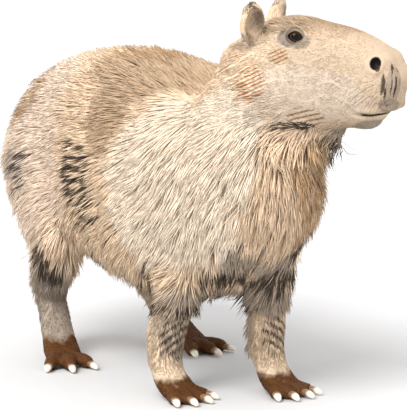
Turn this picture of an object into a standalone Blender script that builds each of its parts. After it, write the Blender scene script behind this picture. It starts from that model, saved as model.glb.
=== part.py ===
"""A life-size capybara standing with its head turned to its left, as separate closed solids.

Metres, +Z up. The animal is modelled facing +X with its left side towards +Y, whole and smooth, and is
then parted by thin cuts into the parts that a person would name.
"""

import math

import bmesh
import bpy
import numpy as np
from mathutils import Matrix, Vector
from mathutils.bvhtree import BVHTree

# The gap between two parts that touch, and the height at which the soles are cut flat
GAP = 0.0003
SOLE_CUT = 0.003

# Resolution of the smooth body before it is thinned out to flat facets
VOXEL = 0.0045
TRUNK_PASSES = 110
DETAIL_PASSES = 4
# The share of the smoothing that the head and the feet are spared, and where that fades out: from
# one place to another along the head, over a height of the model and one of the head, and up a leg
DETAIL_SPARED = 0.97
HEAD_FADE = (0.030, 0.110)
HEAD_FLOOR = 0.460
JAW_FLOOR = -0.120
FOOT_FADE = (0.110, 0.230)
FLESH_TRIANGLES = 3260
# Facets that meet at less than this are one facet
FLAT_ANGLE = math.radians(0.4)

# Rings are (x, y, z, half width, up, down). On a leg, up is its front and down its back.
TORSO = (
    (-0.456, 0.0, 0.396, 0.030, 0.035, 0.045),
    (-0.438, 0.0, 0.392, 0.092, 0.085, 0.100),
    (-0.385, 0.0, 0.385, 0.138, 0.140, 0.145),
    (-0.285, 0.0, 0.383, 0.165, 0.180, 0.178),
    (-0.150, 0.0, 0.380, 0.178, 0.201, 0.190),
    (0.000, 0.0, 0.375, 0.184, 0.199, 0.200),
    (0.120, 0.0, 0.372, 0.170, 0.178, 0.198),
    (0.220, 0.0, 0.378, 0.146, 0.140, 0.176),
    (0.310, 0.0, 0.385, 0.108, 0.128, 0.140),
    (0.368, 0.0, 0.390, 0.078, 0.100, 0.105),
    (0.398, 0.0, 0.392, 0.042, 0.050, 0.056),
)
NECK = (
    (0.020, 0.000, 0.390, 0.130, 0.140, 0.150),
    (0.140, 0.000, 0.430, 0.120, 0.080, 0.168),
    (0.235, -0.004, 0.490, 0.106, 0.048, 0.156),
    (0.300, 0.000, 0.552, 0.092, 0.040, 0.136),
    (0.340, 0.026, 0.600, 0.070, 0.036, 0.100),
)
# Swellings are (x, y, z, x radius, y radius, z radius), on both sides of the body
SHOULDERS = (
    (0.165, 0.088, 0.400, 0.120, 0.078, 0.140),
    (0.230, 0.064, 0.320, 0.078, 0.056, 0.098),
)
HIPS = ((-0.300, 0.080, 0.400, 0.110, 0.088, 0.130),)
THROAT = (
    (0.362, 0.012, 0.455, 0.066, 0.072, 0.100),
    (0.352, -0.002, 0.395, 0.080, 0.085, 0.105),
)

# The head, in its own frame: +X towards the nose, origin at the joint with the neck
HEAD_JOINT = (0.293, -0.016, 0.600)
HEAD_YAW = math.radians(44)
HEAD_PITCH = math.radians(5.5)
HEAD = (
    (-0.045, 0.0, -0.004, 0.036, 0.018, 0.050),
    (-0.018, 0.0, -0.006, 0.062, 0.046, 0.084),
    (0.030, 0.0, -0.010, 0.077, 0.082, 0.100),
    (0.085, 0.0, -0.010, 0.079, 0.086, 0.103),
    (0.135, 0.0, -0.010, 0.070, 0.083, 0.097),
    (0.180, 0.0, -0.010, 0.061, 0.077, 0.088),
    (0.220, 0.0, -0.012, 0.057, 0.065, 0.080),
    (0.248, 0.0, -0.014, 0.053, 0.049, 0.058),
    (0.266, 0.0, -0.016, 0.045, 0.030, 0.047),
    (0.274, 0.0, -0.018, 0.030, 0.014, 0.034),
)
HEAD_SWELLINGS = (
    (0.060, 0.048, -0.048, 0.050, 0.030, 0.046),
    (0.090, 0.044, 0.044, 0.034, 0.020, 0.022),
    (0.236, 0.028, 0.018, 0.026, 0.026, 0.024),
    (0.246, 0.022, -0.040, 0.026, 0.026, 0.026),
    (0.207, 0.000, -0.079, 0.036, 0.031, 0.018),
    (0.116, 0.000, -0.096, 0.064, 0.046, 0.050),
)

EYE = (0.095, 0.0560, 0.047)
EYE_RADIUS = 0.0135
LID_THICKNESS = 0.0040
# The almond between the lids: its depth, half its length along the face, and half its height
LID_OPENING = (0.0110, 0.0132, 0.0086)
EYE_FACING = (0.25, 0.95, 0.16)
NOSTRIL = (0.232, 0.0530, 0.020)
NOSTRIL_SIZE = (0.0085, 0.0110, 0.0055)
# The mouth is one slit right through: places along it, and how far it opens
MOUTH_LINE = ((0.212, -0.067), (0.230, -0.067), (0.252, -0.062), (0.300, -0.048))
MOUTH_OPENING = 0.0026
MOUTH_WIDTH = 0.18

EAR = (0.024, 0.070, 0.062)
# The ear and its hollow, as half depth, half width and half height
EAR_SIZE = (0.0130, 0.0220, 0.0370)
EAR_HOLLOW = (0.0140, 0.0175, 0.0315)
EAR_HOLLOW_SHIFT = 0.0062
# How far the hollow faces outwards, and how far each ear leans out, by side
EAR_FACING = math.radians(40)
EAR_LEAN = {1: math.radians(34), -1: math.radians(20)}

# Legs, given for a foot at (0, 0) on the floor, on the right side, with +Y inwards
FORELEG = (
    (0.030, 0.040, 0.400, 0.055, 0.080, 0.080),
    (0.012, 0.032, 0.320, 0.058, 0.070, 0.078),
    (-0.004, 0.022, 0.255, 0.047, 0.054, 0.062),
    (-0.018, 0.012, 0.190, 0.037, 0.041, 0.045),
    (-0.030, 0.006, 0.125, 0.031, 0.032, 0.034),
    (-0.034, 0.002, 0.075, 0.028, 0.028, 0.030),
    (-0.024, 0.000, 0.042, 0.029, 0.026, 0.025),
    (-0.004, 0.000, 0.025, 0.033, 0.020, 0.022),
    (0.012, 0.000, 0.017, 0.034, 0.015, 0.017),
)
THIGH = (
    (-0.175, 0.055, 0.445, 0.060, 0.100, 0.110),
    (-0.150, 0.042, 0.380, 0.076, 0.135, 0.125),
    (-0.105, 0.028, 0.310, 0.070, 0.118, 0.100),
    (-0.062, 0.012, 0.250, 0.056, 0.078, 0.078),
    (-0.048, 0.006, 0.205, 0.044, 0.050, 0.056),
)
HIND_SHANK = (
    (-0.034, 0.008, 0.262, 0.048, 0.046, 0.068),
    (-0.062, 0.005, 0.205, 0.042, 0.043, 0.055),
    (-0.102, 0.002, 0.148, 0.034, 0.033, 0.038),
    (-0.126, 0.000, 0.112, 0.028, 0.026, 0.030),
    (-0.122, 0.000, 0.098, 0.024, 0.022, 0.026),
)
METATARSUS = (
    (-0.134, 0.000, 0.120, 0.024, 0.020, 0.022),
    (-0.108, 0.000, 0.088, 0.028, 0.022, 0.023),
    (-0.070, 0.000, 0.053, 0.031, 0.021, 0.023),
    (-0.034, 0.000, 0.028, 0.035, 0.019, 0.021),
    (-0.006, 0.000, 0.017, 0.037, 0.015, 0.017),
)
# A leg turns with its foot below the first height, and not at all above the second
TURN_HEIGHTS = (0.12, 0.30)

# Where each foot stands, and how far its toes turn to the animal's left
FEET = {
    "forefoot_right": (0.198, -0.097, math.radians(12)),
    "forefoot_left": (0.246, 0.080, math.radians(8)),
    "hindfoot_right": (-0.138, -0.154, math.radians(-14)),
    "hindfoot_left": (-0.138, 0.114, math.radians(10)),
}
# Each toe: where it leaves the foot, its angle outwards in degrees, and its length
TOES = {
    "fore": ((-0.024, -26, 0.032), (-0.008, -8, 0.043), (0.009, 8, 0.043), (0.025, 26, 0.030)),
    "hind": ((-0.022, -24, 0.042), (0.000, 0, 0.053), (0.022, 24, 0.042)),
}
TOE_RADIUS = {"fore": 0.0120, "hind": 0.0135}
TOE_ROOT = 0.012
# Rings of a toe: how far along it, its height and its size as shares of its radius
TOE_RINGS = ((-0.30, 1.25, 0.80), (0.25, 1.30, 1.00), (0.70, 1.05, 1.00), (0.92, 0.92, 0.88), (1.00, 0.85, 0.55))
# Rings of a claw: distance past the toe's tip, height, half width, up and down
CLAW_RINGS = (
    (-0.012, 0.0135, 0.0070, 0.0055, 0.0058),
    (0.000, 0.0130, 0.0074, 0.0058, 0.0060),
    (0.010, 0.0108, 0.0062, 0.0048, 0.0050),
    (0.018, 0.0080, 0.0034, 0.0030, 0.0032),
)

# The cuts behind the head and the neck: a point in each, its yaw, and how far its face leans back
HEAD_CUT = ((0.284, -0.021, 0.600), math.radians(30), math.radians(22))
NECK_CUT = ((0.190, 0.000, 0.450), 0.0, math.radians(40))
# How far the head's space reaches below its own frame
HEAD_CUT_DEPTH = 0.122
# Each leg is parted from the body inside a rounded space, listed from its top to under the floor
FORELEG_SPACE = (
    (0.010, 0.012, 0.365, 0.020, 0.030, 0.030),
    (0.008, 0.008, 0.340, 0.056, 0.072, 0.074),
    (0.000, 0.000, 0.290, 0.080, 0.098, 0.098),
    (0.000, -0.004, 0.200, 0.086, 0.105, 0.100),
    (0.010, -0.006, -0.050, 0.086, 0.150, 0.100),
)
THIGH_SPACE = (
    (-0.160, 0.012, 0.490, 0.020, 0.030, 0.030),
    (-0.155, 0.010, 0.465, 0.062, 0.090, 0.095),
    (-0.140, 0.002, 0.395, 0.090, 0.135, 0.140),
    (-0.105, -0.008, 0.300, 0.098, 0.140, 0.145),
    (-0.080, -0.012, 0.200, 0.100, 0.140, 0.150),
    (-0.040, -0.012, -0.050, 0.100, 0.170, 0.170),
)
WRIST_HEIGHT = 0.062
KNEE_HEIGHT = 0.236
HOCK_HEIGHT = 0.114
# Reach of the boxes that part whole regions
BEYOND = 1.0

# The coat. The core lies this far inside the outline, and the roots are sunk this far into the core.
CORE_DEPTH = 0.005
ROOT_SINK = 0.0045
COAT_SEED = 12
ROOT_CANDIDATES = 14000
# No locks on the face, which starts here along the head and lies over this height of the model and
# of the head, nor on the feet
FACE_START = -0.010
FACE_FLOOR = 0.440
CHEEK_FLOOR = -0.115
FEET_TOP = 0.080
# Where the kinds of lock change, as heights and places along the body
LEG_TOP = 0.185
SHIN_HEIGHTS = (0.130, 0.250)
SHIN_END = 0.100
FRINGE_TOP = 0.260
CHEST_START = 0.220
CHEST_TOP = 0.500
RUFF_FLOOR = 0.380
RUMP_END = -0.330
RUMP_LOW = (-0.200, 0.300)
NECK_START = (0.100, 0.430)
# Shares of a lock's length at its rings, its width there, and its thickness
LOCK_STEPS = (0.0, 0.36, 0.70)
LOCK_WIDTHS = (0.55, 1.00, 0.74)
LOCK_THICKNESS = (0.90, 1.00, 0.75)
# Kinds of lock: length, width, thickness, height of the tip over the core, how closely it follows
# the body, and which way it lies
LOCKS = {
    "back": (0.146, 0.072, 0.0080, 0.0120, 1.00, (-1.00, -0.22)),
    "neck": (0.106, 0.058, 0.0070, 0.0110, 1.00, (-0.80, -0.60)),
    "rump": (0.120, 0.062, 0.0075, 0.0130, 0.94, (-0.45, -1.00)),
    "ruff": (0.094, 0.046, 0.0070, 0.0240, 0.84, (0.10, -1.00)),
    "chest": (0.088, 0.048, 0.0070, 0.0140, 0.92, (-0.10, -1.00)),
    "fringe": (0.086, 0.048, 0.0070, 0.0190, 0.55, (-0.45, -0.90)),
    "feather": (0.066, 0.032, 0.0055, 0.0170, 0.80, (-0.45, -0.90)),
    "shin": (0.062, 0.032, 0.0055, 0.0130, 0.88, (0.10, -1.00)),
}
# How far apart roots are, along the lie and across it, as shares of a lock's length and width
ROOT_STEP = 0.70
ROOT_SPREAD = 0.90
# A lock that would cross a cut is tried again at these shares of its length
LOCK_SHARES = (1.0, 0.8, 0.62)

# Colours by how a part's name starts, with their roughness
COLOURS = (
    ("torso", (228, 203, 173), 0.85),
    ("neck", (224, 196, 163), 0.85),
    ("head", (230, 208, 182), 0.80),
    ("ear", (120, 106, 94), 0.75),
    ("eye", (26, 20, 18), 0.12),
    ("claw", (222, 212, 196), 0.45),
    ("hindfoot", (95, 56, 19), 0.70),
    ("forefoot", (95, 56, 19), 0.70),
    ("foreleg", (214, 190, 162), 0.85),
    ("thigh", (226, 204, 178), 0.85),
    ("shank", (172, 157, 141), 0.85),
)


def ring_points(ring, tangent, sides, square):
    """The points round one ring, square to the tangent: a rounded box of its half width, up and down."""
    centre = Vector(ring[:3])
    width, up, down = ring[3:6]
    across = Vector((0, 1, 0))
    across = (across - tangent * across.dot(tangent)).normalized()
    above = tangent.cross(across)
    points = []
    for i in range(sides):
        angle = 2 * math.pi * i / sides
        c, s = math.cos(angle), math.sin(angle)
        side = math.copysign(abs(c) ** (2 / square), c) * width
        rise = math.copysign(abs(s) ** (2 / square), s) * (up if s > 0 else down)
        points.append(centre + across * side + above * rise)
    return points


def smooth_rings(keys, count):
    """Rings read at even steps from a smooth curve through the key rings."""
    keys = np.array(keys, float)
    padded = np.vstack([2 * keys[0] - keys[1], keys, 2 * keys[-1] - keys[-2]])
    rings = []
    for step in np.linspace(0, len(keys) - 1, count):
        i = min(int(step), len(keys) - 2)
        t = step - i
        a, b, c, d = padded[i : i + 4]
        rings.append(
            0.5 * (2 * b + (c - a) * t + (2 * a - 5 * b + 4 * c - d) * t**2 + (3 * b - a - 3 * c + d) * t**3)
        )
    return rings


def loft(bm, keys, place=Matrix.Identity(4), count=28, sides=28, square=2.3):
    """Adds a closed body through the key rings to bm, moved by place."""
    rings = smooth_rings(keys, count)
    centres = [Vector(r[:3]) for r in rings]
    loops = []
    for i, ring in enumerate(rings):
        ahead = centres[min(i + 1, count - 1)] - centres[max(i - 1, 0)]
        points = ring_points(ring, ahead.normalized(), sides, square)
        loops.append([bm.verts.new(place @ p) for p in points])
    for low, high in zip(loops, loops[1:]):
        for i in range(sides):
            j = (i + 1) % sides
            bm.faces.new((low[i], high[i], high[j], low[j]))
    bm.faces.new(loops[0])
    bm.faces.new(reversed(loops[-1]))


def head_place():
    """The head's frame in the model's."""
    turn = Matrix.Rotation(HEAD_YAW, 4, "Z") @ Matrix.Rotation(HEAD_PITCH, 4, "Y")
    return Matrix.Translation(HEAD_JOINT) @ turn


def leg_place(foot, turned=False):
    """The frame of the leg on this foot, mirrored on the animal's left side."""
    x, y, yaw = FEET[foot]
    place = Matrix.Translation((x, y, 0))
    if turned:
        place = place @ Matrix.Rotation(yaw, 4, "Z")
    return place @ Matrix.Diagonal((1, 1 if y < 0 else -1, 1, 1))


def turned_rings(foot, keys):
    """The key rings of a leg, turned about the foot as far as their height asks."""
    _, y, yaw = FEET[foot]
    low, high = TURN_HEIGHTS
    rings = []
    for ring in keys:
        share = min(max((high - ring[2]) / (high - low), 0), 1)
        turn = Matrix.Rotation(yaw * share * (1 if y < 0 else -1), 3, "Z")
        rings.append((*(turn @ Vector(ring[:3])), *ring[3:]))
    return rings


def finish_mesh(bm, name):
    """A mesh object made from bm, with its faces pointing out."""
    bmesh.ops.recalc_face_normals(bm, faces=bm.faces)
    mesh = bpy.data.meshes.new(name)
    bm.to_mesh(mesh)
    bm.free()
    obj = bpy.data.objects.new(name, mesh)
    bpy.context.scene.collection.objects.link(obj)
    return obj


def toe_rings(start, angle, length, radius):
    """Key rings of one toe, from inside the foot to its tip."""
    ahead = Vector((math.cos(angle), math.sin(angle), 0))
    rings = []
    for along, high, size in TOE_RINGS:
        centre = Vector((TOE_ROOT, start, 0)) + ahead * (length * along)
        rings.append((centre.x, centre.y, radius * high, radius * size, radius * size, radius * size))
    return rings


def claw_rings(start, angle, length, grown=0.0):
    """Key rings of one claw, from inside its toe to its point, thicker all round by grown."""
    ahead = Vector((math.cos(angle), math.sin(angle), 0))
    rings = []
    for past, high, width, up, down in CLAW_RINGS:
        back = grown if past < 0 else 0
        centre = Vector((TOE_ROOT, start, high)) + ahead * (length + past - back)
        rings.append((*centre, width + grown, up + grown, down + grown))
    return rings


def ball(bm, centre, radii, place=Matrix.Identity(4), turn=Matrix.Identity(4), segments=24):
    """Adds a ball of three radii to bm, turned about its centre and then moved by place."""
    shape = place @ Matrix.Translation(centre) @ turn @ Matrix.Diagonal((*radii, 1))
    bmesh.ops.create_uvsphere(bm, u_segments=segments, v_segments=segments * 2 // 3, radius=1, matrix=shape)


def mirrored_balls(bm, swellings, place=Matrix.Identity(4)):
    """Adds each swelling to bm, on both sides unless it is on the midline."""
    for x, y, z, *radii in swellings:
        for side in (1, -1) if y else (1,):
            ball(bm, (x, side * y, z), radii, place)


def build_flesh():
    """The whole animal as overlapping lofts and swellings."""
    bm = bmesh.new()
    loft(bm, TORSO)
    loft(bm, NECK)
    mirrored_balls(bm, SHOULDERS)
    mirrored_balls(bm, HIPS)
    for x, y, z, *radii in THROAT:
        ball(bm, (x, y, z), radii)
    loft(bm, HEAD, head_place(), square=2.6)
    mirrored_balls(bm, HEAD_SWELLINGS, head_place())
    for foot in FEET:
        limbs = (FORELEG,) if foot.startswith("fore") else (THIGH, HIND_SHANK, METATARSUS)
        for keys in limbs:
            loft(bm, turned_rings(foot, keys), leg_place(foot))
        kind = foot[:4]
        for start, degrees, length in TOES[kind]:
            rings = toe_rings(start, math.radians(degrees), length, TOE_RADIUS[kind])
            loft(bm, rings, leg_place(foot, True), count=10, sides=12)
    return finish_mesh(bm, "flesh")


def apply_modifiers(obj):
    """Makes the modifiers of obj part of its mesh."""
    graph = bpy.context.evaluated_depsgraph_get()
    mesh = bpy.data.meshes.new_from_object(obj.evaluated_get(graph))
    obj.modifiers.clear()
    obj.data = mesh


def blend_weights(points):
    """How much each point is smoothed: all of it on the trunk, hardly on the head and the feet."""
    frame = np.array(head_place().inverted())
    local = points @ frame[:3, :3].T + frame[:3, 3]
    head = np.interp(local[:, 0], HEAD_FADE, (0, 1))
    head *= (points[:, 2] > HEAD_FLOOR) & (local[:, 2] > JAW_FLOOR)
    foot = np.interp(points[:, 2], FOOT_FADE, (1, 0))
    return 1 - DETAIL_SPARED * np.maximum(head, foot)


def mesh_points(mesh):
    """The points of a mesh and their normals, as two arrays."""
    points = np.empty(len(mesh.vertices) * 3)
    mesh.vertices.foreach_get("co", points)
    normals = np.empty(len(mesh.vertices) * 3)
    mesh.vertices.foreach_get("normal", normals)
    return points.reshape(-1, 3), normals.reshape(-1, 3)


def melt(obj):
    """Melts the lofts into one skin and smooths it, most of all on the trunk."""
    remesh = obj.modifiers.new("melt", "REMESH")
    remesh.mode = "VOXEL"
    remesh.voxel_size = VOXEL
    apply_modifiers(obj)
    points, _ = mesh_points(obj.data)
    group = obj.vertex_groups.new(name="blend")
    for index, weight in enumerate(blend_weights(points)):
        group.add([index], weight, "REPLACE")
    smooth = obj.modifiers.new("smooth", "SMOOTH")
    smooth.factor = 0.5
    smooth.iterations = TRUNK_PASSES
    smooth.vertex_group = "blend"
    fair = obj.modifiers.new("fair", "SMOOTH")
    fair.factor = 0.5
    fair.iterations = DETAIL_PASSES
    apply_modifiers(obj)
    obj.vertex_groups.clear()


def draw_in(obj):
    """Draws the trunk in to the core that the coat grows on."""
    points, normals = mesh_points(obj.data)
    points -= normals * (CORE_DEPTH * blend_weights(points))[:, None]
    obj.data.vertices.foreach_set("co", points.ravel())
    obj.data.update()


def thin_out(obj):
    """Thins the fine skin out to facets."""
    decimate = obj.modifiers.new("thin", "DECIMATE")
    decimate.ratio = FLESH_TRIANGLES / (2 * len(obj.data.polygons))
    apply_modifiers(obj)


def kind_of_lock(point, normal, local):
    """Which kind of lock grows at a point, or None. local is the point in the head's frame."""
    x, _, z = point
    forward, _, upward = normal
    if z < FEET_TOP or (local[0] > FACE_START and z > FACE_FLOOR and local[2] > CHEEK_FLOOR):
        return None
    if z < LEG_TOP and forward < -0.55:
        return "feather"
    if z < LEG_TOP:
        return "shin" if x < 0 and forward > 0.6 and z > SHIN_HEIGHTS[0] else None
    if z < FRINGE_TOP and upward < -0.3:
        return "fringe"
    if z < SHIN_HEIGHTS[1] and RUMP_LOW[0] < x < SHIN_END and forward > 0.2:
        return "shin"
    if x > CHEST_START and forward > 0.25 and z < CHEST_TOP:
        return "ruff" if z > RUFF_FLOOR else "chest"
    if x < RUMP_END or (x < RUMP_LOW[0] and z < RUMP_LOW[1]):
        return "rump"
    if x > NECK_START[0] and z > NECK_START[1]:
        return "neck"
    return "back"


def lie_at(kind, normal):
    """The way that a lock of this kind lies on a surface with this normal."""
    ahead, up = LOCKS[kind][5]
    lie = np.array((ahead, 0.0, up))
    lie -= normal * lie.dot(normal)
    if np.linalg.norm(lie) < 0.2:
        lie = np.array((-1.0, 0.0, 0.0)) + normal * normal[0]
    return lie / np.linalg.norm(lie)


def lock_line(kind, root, lie, share, chance, body):
    """The middle line of a lock from its root to its tip, as (centre, way out) pairs."""
    length, _, _, rise, cling, _ = LOCKS[kind]
    length *= share * (1 + 0.16 * chance[0])
    rise *= 1 + 0.20 * chance[2]
    start, normal = root
    line = []
    for step in (*LOCK_STEPS, 1.0):
        straight = start + lie * (length * step)
        on_body, out, _, _ = body.find_nearest(straight)
        out = normal.lerp(out, cling).normalized()
        lift = rise - (rise + ROOT_SINK) * (1 - step) ** (2.0 if cling > 0.9 else 1.4)
        line.append((straight.lerp(on_body, cling) + out * lift, out))
    return line


def grow_line(kind, root, lie, chance, body, part_of):
    """The longest line from this root that stays in the part it starts in, or None."""
    for share in LOCK_SHARES:
        line = lock_line(kind, root, lie, share, chance, body)
        if len({part_of(centre) for centre, _ in line}) == 1:
            return line
    return None


def choose_locks(points, normals, body, part_of):
    """The locks, spread evenly over the coat, as (kind, line, lie, change of width)."""
    rng = np.random.default_rng(COAT_SEED)
    frame = np.array(head_place().inverted())
    local = points @ frame[:3, :3].T + frame[:3, 3]
    taken, locks = [], []
    for i in rng.permutation(len(points))[:ROOT_CANDIDATES]:
        kind = kind_of_lock(points[i], normals[i], local[i])
        if kind is None:
            continue
        length, width = LOCKS[kind][:2]
        lie = lie_at(kind, normals[i])
        if taken:
            away = np.array(taken) - points[i]
            along = away @ lie
            across = np.sqrt(np.maximum((away**2).sum(1) - along**2, 0))
            if ((along / (length * ROOT_STEP)) ** 2 + (across / (width * ROOT_SPREAD)) ** 2 < 1).any():
                continue
        chance = rng.uniform(-1, 1, 4)
        normal, lie = Vector(normals[i]), Vector(lie)
        lie = (lie + normal.cross(lie) * 0.12 * chance[3]).normalized()
        line = grow_line(kind, (Vector(points[i]), normal), lie, chance, body, part_of)
        if line:
            taken.append(points[i])
            locks.append((kind, line, lie, 1 + 0.14 * chance[1]))
    return locks


def build_lock(name, kind, line, lie, widen):
    """One lock: a flat blade that tapers to a point and bends along the body."""
    _, width, thickness, *_ = LOCKS[kind]
    bm = bmesh.new()
    loops = []
    for (centre, out), wide, thick in zip(line, LOCK_WIDTHS, LOCK_THICKNESS):
        side = lie.cross(out).normalized() * (width * widen * wide / 2)
        low = out * (-0.35 * thickness * thick)
        high = out * (0.65 * thickness * thick)
        loops.append([bm.verts.new(centre + p) for p in (side + low, high, low - side)])
    tip = bm.verts.new(line[-1][0])
    bm.faces.new(loops[0])
    for a, b in zip(loops, loops[1:]):
        for i in range(3):
            j = (i + 1) % 3
            bm.faces.new((a[i], b[i], b[j]))
            bm.faces.new((a[i], b[j], a[j]))
    for i in range(3):
        bm.faces.new((loops[-1][i], tip, loops[-1][(i + 1) % 3]))
    return finish_mesh(bm, name)


def grow_coat(flesh, locks):
    """Joins all the locks to the flesh."""
    coat = bpy.data.collections.new("coat")
    bpy.context.scene.collection.children.link(coat)
    for index, lock in enumerate(locks):
        blade = build_lock(f"lock_{index}", *lock)
        bpy.context.scene.collection.objects.unlink(blade)
        coat.objects.link(blade)
    boolean = flesh.modifiers.new("coat", "BOOLEAN")
    boolean.operation = "UNION"
    boolean.solver = "MANIFOLD"
    boolean.operand_type = "COLLECTION"
    boolean.collection = coat
    apply_modifiers(flesh)
    for blade in list(coat.objects):
        bpy.data.objects.remove(blade)
    bpy.data.collections.remove(coat)


def combine(obj, other, operation, solver="MANIFOLD"):
    """Joins other to obj, cuts it away or keeps only what is inside it, and removes other."""
    boolean = obj.modifiers.new(operation.lower(), "BOOLEAN")
    boolean.operation = operation
    boolean.solver = solver
    boolean.object = other
    apply_modifiers(obj)
    bpy.data.objects.remove(other)


def islands_of(bm):
    """The closed surfaces of bm as lists of faces, the one of most volume first."""
    unseen = set(bm.faces)
    islands = []
    while unseen:
        island = [unseen.pop()]
        for face in island:
            for edge in face.edges:
                for other in edge.link_faces:
                    if other in unseen:
                        unseen.remove(other)
                        island.append(other)
        volume = 0.0
        for face in island:
            a, b, c = (v.co for v in face.verts)
            volume += a.dot(b.cross(c)) / 6
        islands.append((volume, island))
    islands.sort(key=lambda pair: -pair[0])
    return [island for _, island in islands]


def keep_largest(obj):
    """Leaves obj only its largest closed surface, as triangles, with its flat stretches made plain."""
    bm = bmesh.new()
    bm.from_mesh(obj.data)
    bmesh.ops.dissolve_limit(bm, angle_limit=FLAT_ANGLE, verts=bm.verts, edges=bm.edges)
    bmesh.ops.triangulate(bm, faces=bm.faces)
    for island in islands_of(bm)[1:]:
        bmesh.ops.delete(bm, geom=island, context="FACES")
    loose = [v for v in bm.verts if not v.link_faces]
    bmesh.ops.delete(bm, geom=loose, context="VERTS")
    bm.to_mesh(obj.data)
    bm.free()


def ear_ball(bm, side, size, shift=0.0, grown=0.0):
    """Adds a ball that lies as the ear on this side does, moved by shift the way that the ear faces."""
    turn = Matrix.Rotation(-side * EAR_LEAN[side], 4, "X") @ Matrix.Rotation(side * EAR_FACING, 4, "Z")
    x, y, z = EAR
    centre = Vector((x, side * y, z)) + turn @ Vector((shift, 0, 0))
    ball(bm, centre, [r + grown for r in size], head_place(), turn, segments=10)


def eye_centre(side):
    """The middle of the eye on this side, in the head's frame."""
    return Vector((EYE[0], side * EYE[1], EYE[2]))


def eye_turn(side):
    """The turn that takes +X to where the eye on this side looks."""
    facing = Vector((EYE_FACING[0], side * EYE_FACING[1], EYE_FACING[2]))
    return facing.to_track_quat("X", "Z").to_matrix().to_4x4()


def build_claws(grown=0.0):
    """The claws as meshes by name, each thicker all round by grown."""
    claws = {}
    for foot in FEET:
        for index, (start, degrees, length) in enumerate(TOES[foot[:4]]):
            bm = bmesh.new()
            rings = claw_rings(start, math.radians(degrees), length, grown)
            loft(bm, rings, leg_place(foot, True), count=len(CLAW_RINGS), sides=6)
            name = f"claw_{foot}_{index + 1}"
            claws[name] = finish_mesh(bm, name)
    return claws


def add_lids(flesh):
    """Joins the swelling of the lids round each eye to the flesh."""
    bm = bmesh.new()
    radius = EYE_RADIUS + GAP + LID_THICKNESS
    for side in (1, -1):
        ball(bm, eye_centre(side), (radius, radius, radius), head_place(), eye_turn(side), segments=10)
    combine(flesh, finish_mesh(bm, "lids"), "UNION")


def carve_face(flesh):
    """Cuts the eyes' sockets and the almonds between the lids, the nostrils, the mouth and the ears' seats."""
    bm = bmesh.new()
    radius = EYE_RADIUS + GAP
    for side in (1, -1):
        ball(bm, eye_centre(side), (radius, radius, radius), head_place(), eye_turn(side), segments=10)
    combine(flesh, finish_mesh(bm, "sockets"), "DIFFERENCE")
    bm = bmesh.new()
    for side in (1, -1):
        turn = eye_turn(side)
        front = eye_centre(side) + turn @ Vector((EYE_RADIUS, 0, 0))
        ball(bm, front, LID_OPENING, head_place(), turn, segments=10)
        ball(bm, (NOSTRIL[0], side * NOSTRIL[1], NOSTRIL[2]), NOSTRIL_SIZE, head_place(), segments=10)
        ear_ball(bm, side, EAR_SIZE, grown=GAP)
    half = MOUTH_OPENING / 2
    keys = [(x, 0, z, MOUTH_WIDTH / 2, half, half) for x, z in MOUTH_LINE]
    loft(bm, keys, head_place(), count=9, sides=8, square=8)
    combine(flesh, finish_mesh(bm, "face_cuts"), "DIFFERENCE")


def build_ear(side, name):
    """One ear: a thin cup."""
    bm = bmesh.new()
    ear_ball(bm, side, EAR_SIZE)
    ear = finish_mesh(bm, name)
    bm = bmesh.new()
    ear_ball(bm, side, EAR_HOLLOW, EAR_HOLLOW_SHIFT)
    combine(ear, finish_mesh(bm, "hollow"), "DIFFERENCE")
    keep_largest(ear)
    return ear


def build_eye(side, name):
    """One eyeball."""
    bm = bmesh.new()
    ball(bm, eye_centre(side), (EYE_RADIUS,) * 3, head_place(), eye_turn(side), segments=10)
    return finish_mesh(bm, name)


def box(place, low, high, grown):
    """A box between two corners in the frame of place, larger all round by grown."""
    bm = bmesh.new()
    low = Vector(low) - Vector((grown,) * 3)
    high = Vector(high) + Vector((grown,) * 3)
    size = high - low
    shape = place @ Matrix.Translation((low + high) / 2) @ Matrix.Diagonal((*size, 1))
    bmesh.ops.create_cube(bm, size=1, matrix=shape)
    return finish_mesh(bm, "box")


def ahead_of(cut, grown):
    """A box that holds all that lies in front of a cut, larger all round by grown."""
    point, yaw, lean = cut
    turn = Matrix.Rotation(yaw, 4, "Z") @ Matrix.Rotation(-lean, 4, "Y")
    place = Matrix.Translation(point) @ turn
    return box(place, (0, -BEYOND, -BEYOND), (BEYOND, BEYOND, BEYOND), grown)


def neck_space(grown):
    """All that lies in front of the neck's cut."""
    return ahead_of(NECK_CUT, grown)


def head_space(grown):
    """What lies in front of the head's cut and above the throat."""
    space = box(head_place(), (-BEYOND, -BEYOND, -HEAD_CUT_DEPTH), (BEYOND, BEYOND, BEYOND), grown)
    combine(space, ahead_of(HEAD_CUT, grown), "INTERSECT")
    return space


def leg_space(foot, keys):
    """The rounded space round a leg, as a maker of meshes."""

    def make(grown):
        bm = bmesh.new()
        rings = [(x, y, z, w + grown, up + grown, down + grown) for x, y, z, w, up, down in keys]
        rings[0] = (*rings[0][:2], rings[0][2] + grown, *rings[0][3:])
        loft(bm, rings, leg_place(foot), count=7, sides=10, square=2.6)
        return finish_mesh(bm, "space")

    return make


def below(height):
    """What lies under a height, as a maker of boxes."""
    half = BEYOND / 2
    return lambda grown: box(Matrix.Identity(4), (-half, -half, -half), (half, half, height), grown)


def part_off(whole, space, name):
    """Takes what lies in a space off the whole, and leaves the gap between the two."""
    piece = bpy.data.objects.new(name, whole.data.copy())
    bpy.context.scene.collection.objects.link(piece)
    combine(piece, space(0.0), "INTERSECT")
    keep_largest(piece)
    combine(whole, space(GAP), "DIFFERENCE")
    keep_largest(whole)
    return piece


def leg_keys(foot):
    """The key rings of the space round the leg on this foot."""
    return FORELEG_SPACE if foot.startswith("fore") else THIGH_SPACE


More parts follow.
